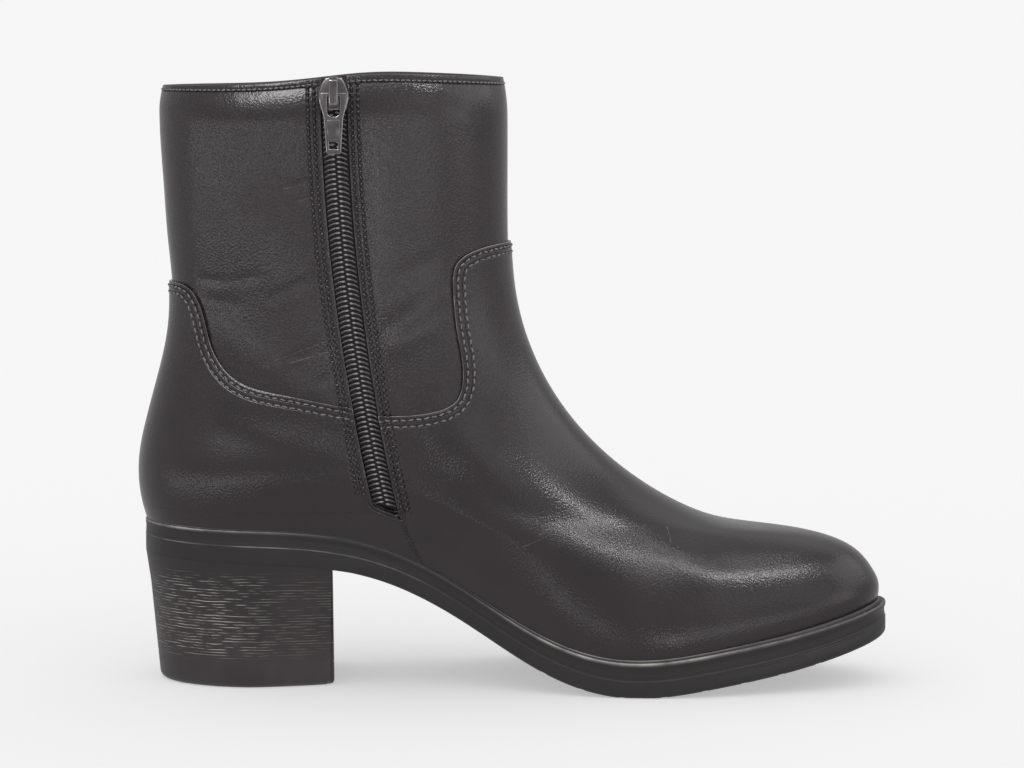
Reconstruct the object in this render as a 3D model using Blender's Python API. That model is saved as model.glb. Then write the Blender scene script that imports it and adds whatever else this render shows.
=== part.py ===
"""Ankle boot with a stacked heel and an inside zip: one left boot, sizes in millimetres.

The boot points along +X, its inner side faces -Y and it stands on z = 0.
"""
import math

import bpy
import bmesh
import numpy as np
from mathutils import Matrix

MM = 0.001

# Sets the middle of the boot's plan over the origin
CENTRE = (0.3, 0.8)

# Fits between neighbouring pieces
SEAT_GAP = 0.35
LAP_GAP = 0.5
UPPER_LIFT = 0.8

# Upper: the last's rings, each named by its height on the back seam
WALL = 2.0
PANEL = 0.8
TOE_SWING = 6.0
SWING_START = 0.0
TOE_TIP = 126.0
ARCH_SHIFT = 3.0
ARCH_MIDDLE = -24.0
ARCH_SPREAD = 34.0
ARCH_FADE = 30.0
RING_COLUMNS = ("height", "back_x", "front_x", "front_z", "sag", "back_radius",
                "heel", "waist", "ball", "toe", "front_radius")
RINGS = (
    (53.2, -126.0, 125.0, 22.0, 1.00, 26.0, 28.0, 27.5, 41.5, 30.4, 21.0),
    (57.0, -127.4, 126.5, 27.6, 1.00, 27.0, 29.3, 29.0, 42.6, 31.4, 22.0),
    (68.0, -129.8, 125.2, 36.6, 0.85, 28.0, 30.8, 32.3, 42.4, 31.2, 21.0),
    (78.0, -129.8, 118.0, 44.6, 0.70, 27.0, 30.6, 33.8, 39.6, 28.2, 18.5),
    (91.0, -127.2, 97.5, 50.8, 0.50, 24.0, 28.0, 34.0, 35.2, 22.6, 15.5),
    (105.5, -123.3, 71.2, 54.6, 0.33, 21.0, 25.5, 33.7, 32.4, 23.0, 13.5),
    (120.0, -119.9, 42.2, 69.2, 0.20, 18.0, 22.6, 32.9, 31.6, 21.0, 12.0),
    (135.0, -118.8, 18.1, 92.4, 0.10, 17.0, 21.0, 32.4, 30.8, 20.8, 12.0),
    (155.0, -120.4, 0.9, 129.5, 0.03, 18.0, 21.2, 32.6, 31.0, 22.0, 15.0),
    (172.0, -121.5, -1.8, 160.0, 0.00, 19.6, 22.2, 33.8, 32.4, 23.6, 18.0),
    (190.0, -122.6, -1.8, 186.0, -0.03, 21.0, 23.1, 35.0, 33.6, 24.6, 20.0),
    (207.6, -122.9, -1.9, 210.4, -0.09, 22.0, 23.7, 36.0, 34.6, 25.3, 21.0),
)
STATIONS = (0.12, 0.42, 0.66, 0.86)
FEATHER = RINGS[0][0]
JOIN = RINGS[1][0]
COLLAR = RINGS[-1][0]
INSTEP_TOP = 158.0

# Sole: the top face of the outsole seen from the side, and its thickness
SOLE_TOP = (
    (-134.0, 52.8), (-98.0, 51.4), (-62.0, 48.8), (-44.0, 44.0), (-16.0, 29.8), (8.0, 15.6),
    (27.0, 8.6), (44.0, 7.0), (68.0, 9.7), (99.0, 15.3), (134.0, 25.0),
)
SOLE_THICK = 7.2
EDGE_ROUND = 1.4
EDGE_STEP = 0.5
EDGE_LIP = 1.1
HEEL_LEDGE = 1.6
WAIST_LEDGE = 2.0
BALL_LEDGE = 3.0
WELT_EDGE = ((0.6, 0.0), (0.1, 0.25), (0.1, 0.65), (0.8, 1.0))
TOE_LEDGE = 4.2
GROOVE_WIDTH = 2.0
GROOVE_DEPTH = 0.8
GROOVES = (10.5, 23.5, 37.0, 51.5, 65.5, 79.0, 92.0, 105.0)
INSOLE_THICK = 2.6

# Heel block
BREAST_X = -62.0
BREAST_SLANT = 0.08
INNER_EDGE = -26.0
HEEL_INSET = 0.6
HEEL_BACK_TAPER = 4.2
HEEL_SIDE_TAPER = 3.2
BREAST_TAPER = 4.0
BREAST_RUN = 30.0
HEEL_LEVELS = ((0.0, 0.0), (0.35, 0.0), (0.7, 0.0), (0.97, 0.0), (1.0, 1.2))

# Seams of the two lapped panels, seen from the side
REAR_EDGE = (
    (-119.0, 139.6), (-112.5, 138.6), (-106.6, 130.0), (-103.0, 117.0), (-95.5, 107.4),
    (-77.8, 102.0), (-57.0, 98.2), (-50.0, 97.2),
)
FRONT_EDGE = (
    (-50.0, 95.4), (-41.5, 95.4), (-27.5, 96.4), (-19.6, 100.0), (-17.4, 108.0), (-19.2, 122.0),
    (-20.8, 138.0), (-19.4, 147.0), (-13.0, 151.2), (-1.0, 153.4),
)
SEAM_GAP = 0.4

# Zip: centre line from the collar to its lower stop, and its parts
ZIP_TOP = (-60.4, 209.7)
ZIP_END = (-43.3, 62.9)
SEAM_LEAN = 30.0
SLOT_HALF = 4.5
CHAIN_HALF = 3.9
CHAIN_BACK = -1.9
CHAIN_FRONT = 0.3
CHAIN_GAP = 0.6
CHAIN_STOP = 2.0
TAPE_HALF = 10.5
TAPE_THICK = 0.6
TAPE_TAIL = 4.0
TAPE_STOP = 3.0
HINGE_Z = 204.8
SLIDER_SIZE = (10.2, 2.0, 11.0)
SLIDER_STAND = 0.6
SLIDER_LIFT = 0.2
SLIDER_ROUND = 0.7
BAIL_WIDTH = 3.0
BAIL_HEIGHT = 10.4
BAIL_DEPTH = 3.4
BAIL_BAR = 1.2
BAIL_LIFT = 0.8
BAIL_ROUND = 0.6
BAIL_ROOT = 0.8
TAB_THICK = 1.3
TAB_OUTLINE = ((4.1, 0.65), (4.5, 0.2), (4.5, -4.6), (3.4, -8.0), (3.0, -15.5), (2.9, -18.6), (2.3, -20.0))
TAB_HOLE = ((2.1, -0.65), (2.1, -6.2), (1.2, -7.3))
TAB_SLOT = ((1.7, -15.9), (1.7, -18.3))

FINISHES = {
    "leather": ((0.030, 0.029, 0.031), 0.42, 0.0),
    "rubber": ((0.016, 0.016, 0.017), 0.62, 0.0),
    "stack": ((0.022, 0.021, 0.022), 0.50, 0.0),
    "board": ((0.090, 0.085, 0.080), 0.80, 0.0),
    "tape": ((0.020, 0.020, 0.022), 0.85, 0.0),
    "coil": ((0.035, 0.035, 0.038), 0.45, 0.0),
    "metal": ((0.130, 0.130, 0.135), 0.32, 1.0),
}


def spline(keys, values, at):
    """Natural cubic through values at keys; values may hold one column or several."""
    keys = np.asarray(keys, float)
    values = np.asarray(values, float)
    at = np.clip(np.asarray(at, float), keys[0], keys[-1])
    gap = np.diff(keys)
    matrix = np.eye(len(keys))
    right = np.zeros_like(values)
    for i in range(1, len(keys) - 1):
        matrix[i, i - 1:i + 2] = (gap[i - 1], 2 * (gap[i - 1] + gap[i]), gap[i])
        right[i] = 6 * ((values[i + 1] - values[i]) / gap[i] - (values[i] - values[i - 1]) / gap[i - 1])
    bend = np.linalg.solve(matrix, right)
    i = np.clip(np.searchsorted(keys, at) - 1, 0, len(gap) - 1)
    a = (keys[i + 1] - at) / gap[i]
    width = gap[i]
    if values.ndim > 1:
        a = a[..., None]
        width = width[..., None]
    b = 1 - a
    curve = ((a ** 3 - a) * bend[i] + (b ** 3 - b) * bend[i + 1]) * width ** 2 / 6
    return a * values[i] + b * values[i + 1] + curve


def sole_top(x):
    table = np.array(SOLE_TOP)
    return spline(table[:, 0], table[:, 1], x)


def sole_bottom(x):
    return np.maximum(0.0, sole_top(x) - SOLE_THICK)


def ring(height):
    """The interpolated columns of the ring table at a height on the back seam."""
    table = np.array(RINGS)
    columns = spline(table[:, 0], table[:, 1:], height)
    return {name: columns[..., i] for i, name in enumerate(RING_COLUMNS[1:])}


def side_view(height, share):
    """Side view of a ring: x, z at a share of its length from back to front."""
    row = ring(height)
    x = row["back_x"] + (row["front_x"] - row["back_x"]) * share
    base_x = RINGS[0][1] + (RINGS[0][2] - RINGS[0][1]) * share
    straight = FEATHER + (RINGS[0][3] - FEATHER) * share
    dip = sole_top(base_x) + UPPER_LIFT - straight
    return x, height + (row["front_z"] - height) * share + row["sag"] * dip


def last_point(height, angle):
    """Outer face of the upper; angle 0 is the back seam and pi the toe, inner side first."""
    height = np.clip(np.asarray(height, float), FEATHER, COLLAR)
    angle = np.asarray(angle, float)
    row = ring(height)
    share = (1 - np.cos(angle)) / 2
    x, z = side_view(height, share)
    length = row["front_x"] - row["back_x"]
    knots = [0.0] + [math.acos(1 - 2 * s) for s in STATIONS] + [math.pi]
    weights = spline(knots, np.eye(len(knots)), np.arccos(np.cos(angle)))
    reach = [np.sqrt(row["back_radius"] * length / 2)]
    for name, knot in zip(("heel", "waist", "ball", "toe"), knots[1:-1]):
        reach.append(row[name] / math.sin(knot))
    reach.append(np.sqrt(row["front_radius"] * length / 2))
    half = sum(weights[..., i] * reach[i] for i in range(len(knots)))
    toe = np.clip((x - SWING_START) / (TOE_TIP - SWING_START), 0, 1.1)
    fade = np.clip(1 - (height - JOIN) / ARCH_FADE, 0, 1)
    arch = ARCH_SHIFT * fade * np.exp(-((x - ARCH_MIDDLE) / ARCH_SPREAD) ** 2)
    y = arch - TOE_SWING * toe ** 2 - half * np.sin(angle)
    return np.stack(np.broadcast_arrays(x, y, z), axis=-1)


def last_normal(height, angle):
    turn = 0.02
    lift = 0.4
    height = np.asarray(height, float)
    along = last_point(height, angle + turn) - last_point(height, angle - turn)
    rise = last_point(height + lift, angle) - last_point(height - lift, angle)
    normal = np.cross(along, rise)
    return normal / np.linalg.norm(normal, axis=-1, keepdims=True)


def offset_point(height, angle, distance):
    return last_point(height, angle) + last_normal(height, angle) * distance


def ring_through(x, z):
    """Height and share of the ring that passes a point of the side view."""
    low = np.full(np.shape(x), FEATHER)
    high = np.full(np.shape(x), COLLAR)
    for _ in range(40):
        height = (low + high) / 2
        row = ring(height)
        share = np.clip((x - row["back_x"]) / (row["front_x"] - row["back_x"]), 0, 1)
        above = side_view(height, share)[1] > z
        high = np.where(above, height, high)
        low = np.where(above, low, height)
    return height, share


def zip_x(z):
    drop = (ZIP_TOP[1] - z) / (ZIP_TOP[1] - ZIP_END[1])
    return ZIP_TOP[0] + (ZIP_END[0] - ZIP_TOP[0]) * drop ** 2 + SEAM_LEAN * np.maximum(0, drop - 1)


def zip_angle(height, across=0.0):
    """Angle on a ring of the line that runs beside the zip's centre line."""
    row = ring(height)
    length = row["front_x"] - row["back_x"]
    share = np.full(np.shape(height), 0.45)
    for _ in range(12):
        share = (zip_x(side_view(height, share)[1]) - row["back_x"]) / length
    return np.arccos(1 - 2 * (share + across / length))


SLOT_END = float(ring_through(np.array(ZIP_END[0]), np.array(ZIP_END[1]))[0])


def finish(name):
    material = bpy.data.materials.get(name)
    if material:
        return material
    colour, roughness, metallic = FINISHES[name]
    material = bpy.data.materials.new(name)
    material.use_nodes = True
    shader = material.node_tree.nodes["Principled BSDF"]
    shader.inputs["Base Color"].default_value = (*colour, 1.0)
    shader.inputs["Roughness"].default_value = roughness
    shader.inputs["Metallic"].default_value = metallic
    return material


def settle(piece, group):
    """Put a piece in its collection, under the empty that carries the whole boot."""
    group.objects.link(piece)
    piece.parent = CARRIER
    if group == CUTTERS:
        piece.hide_render = True
        piece.display_type = "WIRE"


def add_mesh(name, points, faces, material):
    """One named object from points in millimetres; faces are turned outwards."""
    mesh = bpy.data.meshes.new(name)
    body = bmesh.new()
    verts = [body.verts.new([c * MM for c in point]) for point in points]
    for face in faces:
        corners = []
        for index in face:
            if verts[index] not in corners:
                corners.append(verts[index])
        body.faces.new(corners)
    bmesh.ops.recalc_face_normals(body, faces=body.faces)
    body.to_mesh(mesh)
    body.free()
    mesh.materials.append(finish(material))
    mesh.shade_smooth()
    mesh.set_sharp_from_angle(angle=math.radians(40))
    piece = bpy.data.objects.new(name, mesh)
    settle(piece, PARTS)
    return piece


def wall(name, outer, inner, material, closed=False, left_out=()):
    """A shell between two grids of points, with a rim along every open edge."""
    rows, columns = outer.shape[:2]
    count = rows * columns
    sheet = []
    for i in range(rows - 1):
        for j in range(columns if closed else columns - 1):
            if (i, j) in left_out:
                continue
            k = (j + 1) % columns
            sheet.append((i * columns + j, i * columns + k, (i + 1) * columns + k, (i + 1) * columns + j))
    faces = list(sheet)
    faces += [tuple(count + index for index in reversed(face)) for face in sheet]
    edges = {(face[n], face[(n + 1) % 4]) for face in sheet for n in range(4)}
    for start, end in edges:
        if (end, start) not in edges:
            faces.append((end, start, count + start, count + end))
    points = list(outer.reshape(-1, 3)) + list(inner.reshape(-1, 3))
    used = sorted({index for face in faces for index in face})
    place = {index: n for n, index in enumerate(used)}
    faces = [tuple(place[index] for index in face) for face in faces]
    return add_mesh(name, [points[index] for index in used], faces, material)


def stack(name, loops, material, pairs):
    """A solid through closed loops, capped by strips between paired points."""
    count = len(loops[0])
    faces = []
    for level in range(len(loops) - 1):
        here = level * count
        above = here + count
        for j in range(count):
            k = (j + 1) % count
            faces.append((here + j, here + k, above + k, above + j))
    for level in (0, len(loops) - 1):
        for (a, b), (c, d) in zip(pairs[:-1], pairs[1:]):
            strip = []
            for index in (a, c, d, b):
                if index not in strip:
                    strip.append(index)
            faces.append(tuple(level * count + index for index in strip))
    return add_mesh(name, [point for loop in loops for point in loop], faces, material)


def sole_angles(count):
    return np.linspace(0, 2 * math.pi, count, endpoint=False)


def plan_normal(angle):
    turn = 0.02
    along = last_point(JOIN, angle + turn) - last_point(JOIN, angle - turn)
    normal = np.stack((along[..., 1], -along[..., 0]), axis=-1)
    return normal / np.linalg.norm(normal, axis=-1, keepdims=True)


def ledge(angle):
    """How far the welt and the outsole stand out beyond the upper."""
    x = last_point(JOIN, angle)[..., 0]
    return np.interp(x, (-70.0, -20.0, 35.0, 110.0), (HEEL_LEDGE, WAIST_LEDGE, BALL_LEDGE, TOE_LEDGE))


def sole_line(angle, inset):
    """Plan of the sole's edge, drawn in by inset."""
    join = last_point(JOIN, angle)[..., :2]
    return join + plan_normal(angle) * (ledge(angle) - inset)[..., None]


def with_height(plan, z):
    return np.concatenate((plan, np.broadcast_to(z, plan.shape[:-1])[..., None]), axis=-1)


def paired(count):
    return [(j, (count - j) % count) for j in range(count // 2 + 1)]


def make_outsole():
    count = 64
    angles = sole_angles(count)
    loops = []
    for inset, from_top, drop in (
            (EDGE_STEP, True, 0.0), (EDGE_STEP, True, EDGE_LIP), (0.0, True, EDGE_LIP + EDGE_STEP),
            (0.0, False, EDGE_ROUND), (EDGE_ROUND, False, 0.0)):
        plan = sole_line(angles, np.full(count, inset))
        x = plan[:, 0]
        z = sole_top(x) - drop if from_top else sole_bottom(x) + drop
        loops.append(with_height(plan, z))
    outsole = stack("outsole", loops, "rubber", paired(count))
    groove = bpy.data.meshes.new("tread_grooves")
    body = bmesh.new()
    for x in GROOVES:
        slope = math.atan2(float(sole_bottom(x + 2) - sole_bottom(x - 2)), 4.0)
        made = bmesh.ops.create_cube(body, size=MM)["verts"]
        bmesh.ops.scale(body, vec=(GROOVE_WIDTH, 130.0, 2 * GROOVE_DEPTH), verts=made)
        bmesh.ops.rotate(body, cent=(0, 0, 0), matrix=Matrix.Rotation(-slope, 3, "Y"), verts=made)
        bmesh.ops.translate(body, vec=(x * MM, 0, float(sole_bottom(x)) * MM), verts=made)
    body.to_mesh(groove)
    body.free()
    cutter = bpy.data.objects.new("tread_grooves", groove)
    settle(cutter, CUTTERS)
    cut = outsole.modifiers.new("tread", "BOOLEAN")
    cut.operation = "DIFFERENCE"
    cut.solver = "EXACT"
    cut.object = cutter


def make_heel():
    half = 12
    breast_share = (BREAST_X - RINGS[1][1]) / (RINGS[1][2] - RINGS[1][1])
    reach = math.acos(1 - 2 * breast_share)
    angles = np.linspace(reach, -reach, 2 * half + 1)
    normal = plan_normal(angles)
    taper = HEEL_SIDE_TAPER + (HEEL_BACK_TAPER - HEEL_SIDE_TAPER) * np.abs(normal[:, 0])
    near_breast = np.clip((last_point(JOIN, angles)[:, 0] - BREAST_X + BREAST_RUN) / BREAST_RUN, 0, 1)
    taper = taper + BREAST_TAPER * near_breast
    loops = []
    for fall, extra in HEEL_LEVELS:
        plan = sole_line(angles, HEEL_INSET + taper * fall + extra)
        breast = BREAST_X - BREAST_SLANT * np.maximum(0.0, plan[:, 1] - INNER_EDGE)
        plan[:, 0] = np.minimum(plan[:, 0], breast)
        plan[[0, -1], 0] = breast[[0, -1]]
        top = sole_bottom(plan[:, 0]) - SEAT_GAP
        loops.append(with_height(plan, top * (1 - fall)))
    pairs = [(j, 2 * half - j) for j in range(half + 1)]
    stack("heel", loops, "stack", pairs)


def make_welt():
    """A strip with a rounded outer edge, on the outsole and round the foot of the upper."""
    count = 64
    angles = sole_angles(count)
    foot = offset_point(FEATHER, angles, LAP_GAP)
    crown = offset_point(JOIN, angles, LAP_GAP)
    loops = [with_height(foot[:, :2], sole_top(foot[:, 0]) + SEAT_GAP)]
    for inset, rise in WELT_EDGE:
        plan = sole_line(angles, np.full(count, inset))
        floor = sole_top(plan[:, 0]) + SEAT_GAP
        loops.append(with_height(plan, floor + (crown[:, 2] - floor) * rise))
    loops.append(crown)
    faces = []
    for i in range(len(loops)):
        m = (i + 1) % len(loops)
        for j in range(count):
            k = (j + 1) % count
            faces.append((i * count + j, i * count + k, m * count + k, m * count + j))
    add_mesh("welt", [point for loop in loops for point in loop], faces, "rubber")


def make_insole():
    count = 64
    angles = sole_angles(count)
    inside = WALL + 2 * LAP_GAP
    loops = []
    for lift in (SEAT_GAP, SEAT_GAP + INSOLE_THICK):
        plan = last_point(FEATHER, angles)[:, :2] - plan_normal(angles) * inside
        loops.append(with_height(plan, sole_top(plan[:, 0]) + lift))
    stack("insole", loops, "board", paired(count))


def even_angles(start, end, steps):
    """Angles that share out the turn of a ring and its length alike."""
    fine = np.linspace(start, end, 200)
    length = (np.cos(start) - np.cos(fine)) / (np.cos(start) - np.cos(end))
    return np.interp(np.linspace(0, 1, steps + 1), (length + (fine - start) / (end - start)) / 2, fine)


def make_upper():
    back, front = 10, 14
    low = np.linspace(JOIN, SLOT_END, 4)
    instep = np.linspace(SLOT_END, INSTEP_TOP, 14)
    shaft = np.linspace(INSTEP_TOP, COLLAR, 5)
    heights = np.concatenate(([FEATHER], low[:-1], instep[:-1], shaft))
    grid = []
    for height in heights:
        left = zip_angle(height, -SLOT_HALF)
        right = zip_angle(height, SLOT_HALF)
        inner = np.concatenate((even_angles(0, left, back), even_angles(right, math.pi, front)))
        grid.append(np.concatenate((inner, 2 * math.pi - inner[-2:0:-1])))
    grid = np.array(grid)
    tall = np.broadcast_to(heights[:, None], grid.shape)
    outer = last_point(tall, grid)
    inside = offset_point(tall, grid, -WALL)
    inside[0, :, 2] = sole_top(inside[0, :, 0]) + UPPER_LIFT
    inside[-1, :, 2] = outer[-1, :, 2]
    slot = {(i, back) for i, height in enumerate(heights) if height >= SLOT_END - 0.01}
    wall("upper", outer, inside, "leather", closed=True, left_out=slot)


def edge_line(table):
    """A panel's upper edge as heights against shares of the rings it crosses."""
    knots = np.array(table)
    run = np.concatenate(([0], np.cumsum(np.hypot(*np.diff(knots, axis=0).T))))
    smooth = spline(run, knots, np.linspace(0, run[-1], 120))
    height, share = ring_through(smooth[:, 0], smooth[:, 1])
    order = np.maximum.accumulate(share)
    return order, height


def panel_grid(edge, span, columns, rows, ease):
    """Heights and angles of a panel that runs from the welt up to its edge line."""
    share, height = edge
    across = np.linspace(-1, 1, 401)

    def climb(q):
        top = np.full(q.shape, 110.0)
        for _ in range(40):
            here = (1 - np.cos(span(q, top))) / 2
            top = 0.5 * top + 0.5 * np.interp(here, share, height)
        return top

    top = climb(across)
    x, z = side_view(top, (1 - np.cos(span(across, top))) / 2)
    run = np.concatenate(([0], np.cumsum(np.hypot(np.diff(x), np.diff(z)))))
    measure = run / run[-1] + across + 1
    q = np.interp(np.linspace(0, measure[-1], columns + 1), measure, across)
    top = climb(q)
    low = JOIN + SEAT_GAP + 0.2
    rise = (np.arange(rows + 1) / rows) ** ease
    heights = low + (top - low)[None, :] * rise[:, None]
    angles = span(np.broadcast_to(q, heights.shape), heights)
    return heights, angles


def front_span(q, height):
    inner = zip_angle(height, SLOT_HALF)
    outer = zip_angle(height, SEAM_GAP / 2)
    return math.pi + q * (math.pi - np.where(q < 0, inner, outer))


def rear_span(q, height):
    beside = zip_angle(height, -SLOT_HALF)
    below = zip_angle(height, SLOT_HALF - SEAM_GAP)
    blend = np.clip((SLOT_END - 1.0 - height) / 1.0, 0, 1)
    inner = beside + (below - beside) * blend
    outer = zip_angle(height, -SEAM_GAP / 2)
    return q * np.where(q > 0, inner, outer)


def make_panels():
    for name, table, span, columns, rows, ease in (
            ("front_panel", FRONT_EDGE, front_span, 44, 16, 1.6),
            ("rear_panel", REAR_EDGE, rear_span, 30, 9, 1.0)):
        heights, angles = panel_grid(edge_line(table), span, columns, rows, ease)
        outer = offset_point(heights, angles, LAP_GAP + PANEL)
        inner = offset_point(heights, angles, LAP_GAP)
        wall(name, outer, inner, "leather")


def zip_strip(name, half, back, front, columns, run, material):
    heights = np.linspace(*run, 15)
    across = np.linspace(-half, half, columns + 1)
    tall = np.broadcast_to(heights[:, None], (len(heights), len(across)))
    angles = np.stack([zip_angle(tall[:, j], across[j]) for j in range(len(across))], axis=1)
    wall(name, offset_point(tall, angles, front), offset_point(tall, angles, back), material)


def make_zip():
    behind = -(WALL + LAP_GAP)
    tape_run = (SLOT_END - TAPE_TAIL, COLLAR - TAPE_STOP)
    chain_run = (SLOT_END + CHAIN_GAP, COLLAR - CHAIN_STOP)
    zip_strip("zip_tape", TAPE_HALF, behind - TAPE_THICK, behind, 6, tape_run, "tape")
    zip_strip("zip_chain", CHAIN_HALF, CHAIN_BACK, CHAIN_FRONT, 2, chain_run, "coil")


def zip_frame():
    """Place and turn of the zip's top: X across the zip, Y into the boot, Z up the wall."""
    height = ring_through(np.array(float(zip_x(HINGE_Z))), np.array(HINGE_Z))[0]
    angle = zip_angle(height)
    middle = last_point(height, angle)
    out = last_normal(height, angle)
    return middle, out, math.atan2(out[0], -out[1])


def place(piece, distance, tilt=0.0):
    middle, out, turn = zip_frame()
    piece.location = (
        (middle[0] + out[0] * distance) * MM,
        (middle[1] + out[1] * distance) * MM,
        middle[2] * MM,
    )
    piece.rotation_euler = (tilt, 0, turn)


def add_box(name, size, centre, group, bevel=0.0):
    mesh = bpy.data.meshes.new(name)
    body = bmesh.new()
    bmesh.ops.create_cube(body, size=MM)
    bmesh.ops.scale(body, vec=size, verts=body.verts)
    bmesh.ops.translate(body, vec=[c * MM for c in centre], verts=body.verts)
    if bevel:
        bmesh.ops.bevel(body, geom=body.edges[:], offset=bevel * MM, segments=2, affect="EDGES", profile=0.5)
    body.to_mesh(mesh)
    body.free()
    box = bpy.data.objects.new(name, mesh)
    settle(box, group)
    place(box, 0.0)
    return box


def make_slider():
    face = -SLIDER_STAND - SLIDER_SIZE[1]
    middle = (0, face + SLIDER_SIZE[1] / 2, SLIDER_LIFT)
    slider = add_box("zip_slider", SLIDER_SIZE, middle, PARTS, SLIDER_ROUND)
    slider.data.materials.append(finish("metal"))
    deep = BAIL_DEPTH + BAIL_ROOT
    gap = BAIL_DEPTH - BAIL_BAR
    bail_size = (BAIL_WIDTH, deep, BAIL_HEIGHT)
    window_size = (2 * BAIL_WIDTH, gap, BAIL_HEIGHT - 2 * BAIL_BAR)
    bail = add_box("bail_block", bail_size, (0, face + BAIL_ROOT - deep / 2, BAIL_LIFT), CUTTERS, BAIL_ROUND)
    window = add_box("bail_window", window_size, (0, face - gap / 2, BAIL_LIFT), CUTTERS)
    for operation, other in (("UNION", bail), ("DIFFERENCE", window)):
        change = slider.modifiers.new(other.name, "BOOLEAN")
        change.operation = operation
        change.solver = "EXACT"
        change.object = other


def make_pull_tab():
    curve = bpy.data.curves.new("pull_tab", "CURVE")
    curve.dimensions = "2D"
    curve.fill_mode = "BOTH"
    curve.extrude = TAB_THICK / 2 * MM
    for half in (TAB_OUTLINE, TAB_HOLE, TAB_SLOT):
        outline = list(half) + [(-x, z) for x, z in reversed(half)]
        line = curve.splines.new("POLY")
        line.points.add(len(outline) - 1)
        line.use_cyclic_u = True
        for point, (x, z) in zip(line.points, outline):
            point.co = (x * MM, z * MM, 0, 1)
    curve.materials.append(finish("metal"))
    tab = bpy.data.objects.new("pull_tab", curve)
    settle(tab, PARTS)
    place(tab, SLIDER_STAND + SLIDER_SIZE[1] + (BAIL_DEPTH - BAIL_BAR) / 2, tilt=math.pi / 2)


for old in list(bpy.data.objects):
    bpy.data.objects.remove(old, do_unlink=True)
PARTS = bpy.data.collections.new("ankle_boot")
CUTTERS = bpy.data.collections.new("cutters")
for part_group in (PARTS, CUTTERS):
    bpy.context.scene.collection.children.link(part_group)
CARRIER = bpy.data.objects.new("boot_centre", None)
CARRIER.location = (CENTRE[0] * MM, CENTRE[1] * MM, 0)
PARTS.objects.link(CARRIER)

make_outsole()
make_heel()
make_welt()
make_insole()
make_upper()
make_panels()
make_zip()
make_slider()
make_pull_tab()
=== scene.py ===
import math

import bpy
import numpy as np
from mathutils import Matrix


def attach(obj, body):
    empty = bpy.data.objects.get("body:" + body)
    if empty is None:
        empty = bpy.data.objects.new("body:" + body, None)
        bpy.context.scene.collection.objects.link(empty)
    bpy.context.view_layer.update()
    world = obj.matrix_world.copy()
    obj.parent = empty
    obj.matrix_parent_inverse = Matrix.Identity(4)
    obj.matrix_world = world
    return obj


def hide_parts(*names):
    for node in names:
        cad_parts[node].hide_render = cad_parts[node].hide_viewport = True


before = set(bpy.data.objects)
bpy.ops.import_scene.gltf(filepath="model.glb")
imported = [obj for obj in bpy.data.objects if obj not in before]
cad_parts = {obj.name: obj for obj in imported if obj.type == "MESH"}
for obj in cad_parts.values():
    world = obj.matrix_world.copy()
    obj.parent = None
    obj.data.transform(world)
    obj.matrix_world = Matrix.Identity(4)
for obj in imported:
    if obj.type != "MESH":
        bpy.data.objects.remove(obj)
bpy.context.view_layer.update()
mm = 0.001
print("frame loaded,", len(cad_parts), "solids")

# The last: rings named by their height on the back seam, all in mm
lastShape = {
    "centre": (0.3, 0.8, 0.0),  # sets the boot over the frame's origin
    "stations": (0.12, 0.42, 0.66, 0.86),  # shares of a ring's length that carry a half width
    "toeSwing": 6.0,
    "toeTip": 126.0,
    "archShift": 3.0,
    "archMiddle": -24.0,
    "archSpread": 34.0,
    "archFade": 30.0,
    "upperLift": 0.8,
    "feather": 53.2,
    "join": 57.0,
    "collar": 207.6,
}
ringColumns = ("backX", "frontX", "frontZ", "sag", "backRadius",
               "heel", "waist", "ball", "toe", "frontRadius")
ringTable = np.array((
    # height, then the columns above
    (53.2, -126.0, 125.0, 22.0, 1.00, 26.0, 28.0, 27.5, 41.5, 30.4, 21.0),
    (57.0, -127.4, 126.5, 27.6, 1.00, 27.0, 29.3, 29.0, 42.6, 31.4, 22.0),
    (68.0, -129.8, 125.2, 36.6, 0.85, 28.0, 30.8, 32.3, 42.4, 31.2, 21.0),
    (78.0, -129.8, 118.0, 44.6, 0.70, 27.0, 30.6, 33.8, 39.6, 28.2, 18.5),
    (91.0, -127.2, 97.5, 50.8, 0.50, 24.0, 28.0, 34.0, 35.2, 22.6, 15.5),
    (105.5, -123.3, 71.2, 54.6, 0.33, 21.0, 25.5, 33.7, 32.4, 23.0, 13.5),
    (120.0, -119.9, 42.2, 69.2, 0.20, 18.0, 22.6, 32.9, 31.6, 21.0, 12.0),
    (135.0, -118.8, 18.1, 92.4, 0.10, 17.0, 21.0, 32.4, 30.8, 20.8, 12.0),
    (155.0, -120.4, 0.9, 129.5, 0.03, 18.0, 21.2, 32.6, 31.0, 22.0, 15.0),
    (172.0, -121.5, -1.8, 160.0, 0.00, 19.6, 22.2, 33.8, 32.4, 23.6, 18.0),
    (190.0, -122.6, -1.8, 186.0, -0.03, 21.0, 23.1, 35.0, 33.6, 24.6, 20.0),
    (207.6, -122.9, -1.9, 210.4, -0.09, 22.0, 23.7, 36.0, 34.6, 25.3, 21.0),
))
soleTopLine = np.array((
    (-134.0, 52.8), (-98.0, 51.4), (-62.0, 48.8), (-44.0, 44.0), (-16.0, 29.8), (8.0, 15.6),
    (27.0, 8.6), (44.0, 7.0), (68.0, 9.7), (99.0, 15.3), (134.0, 25.0),
))


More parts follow.
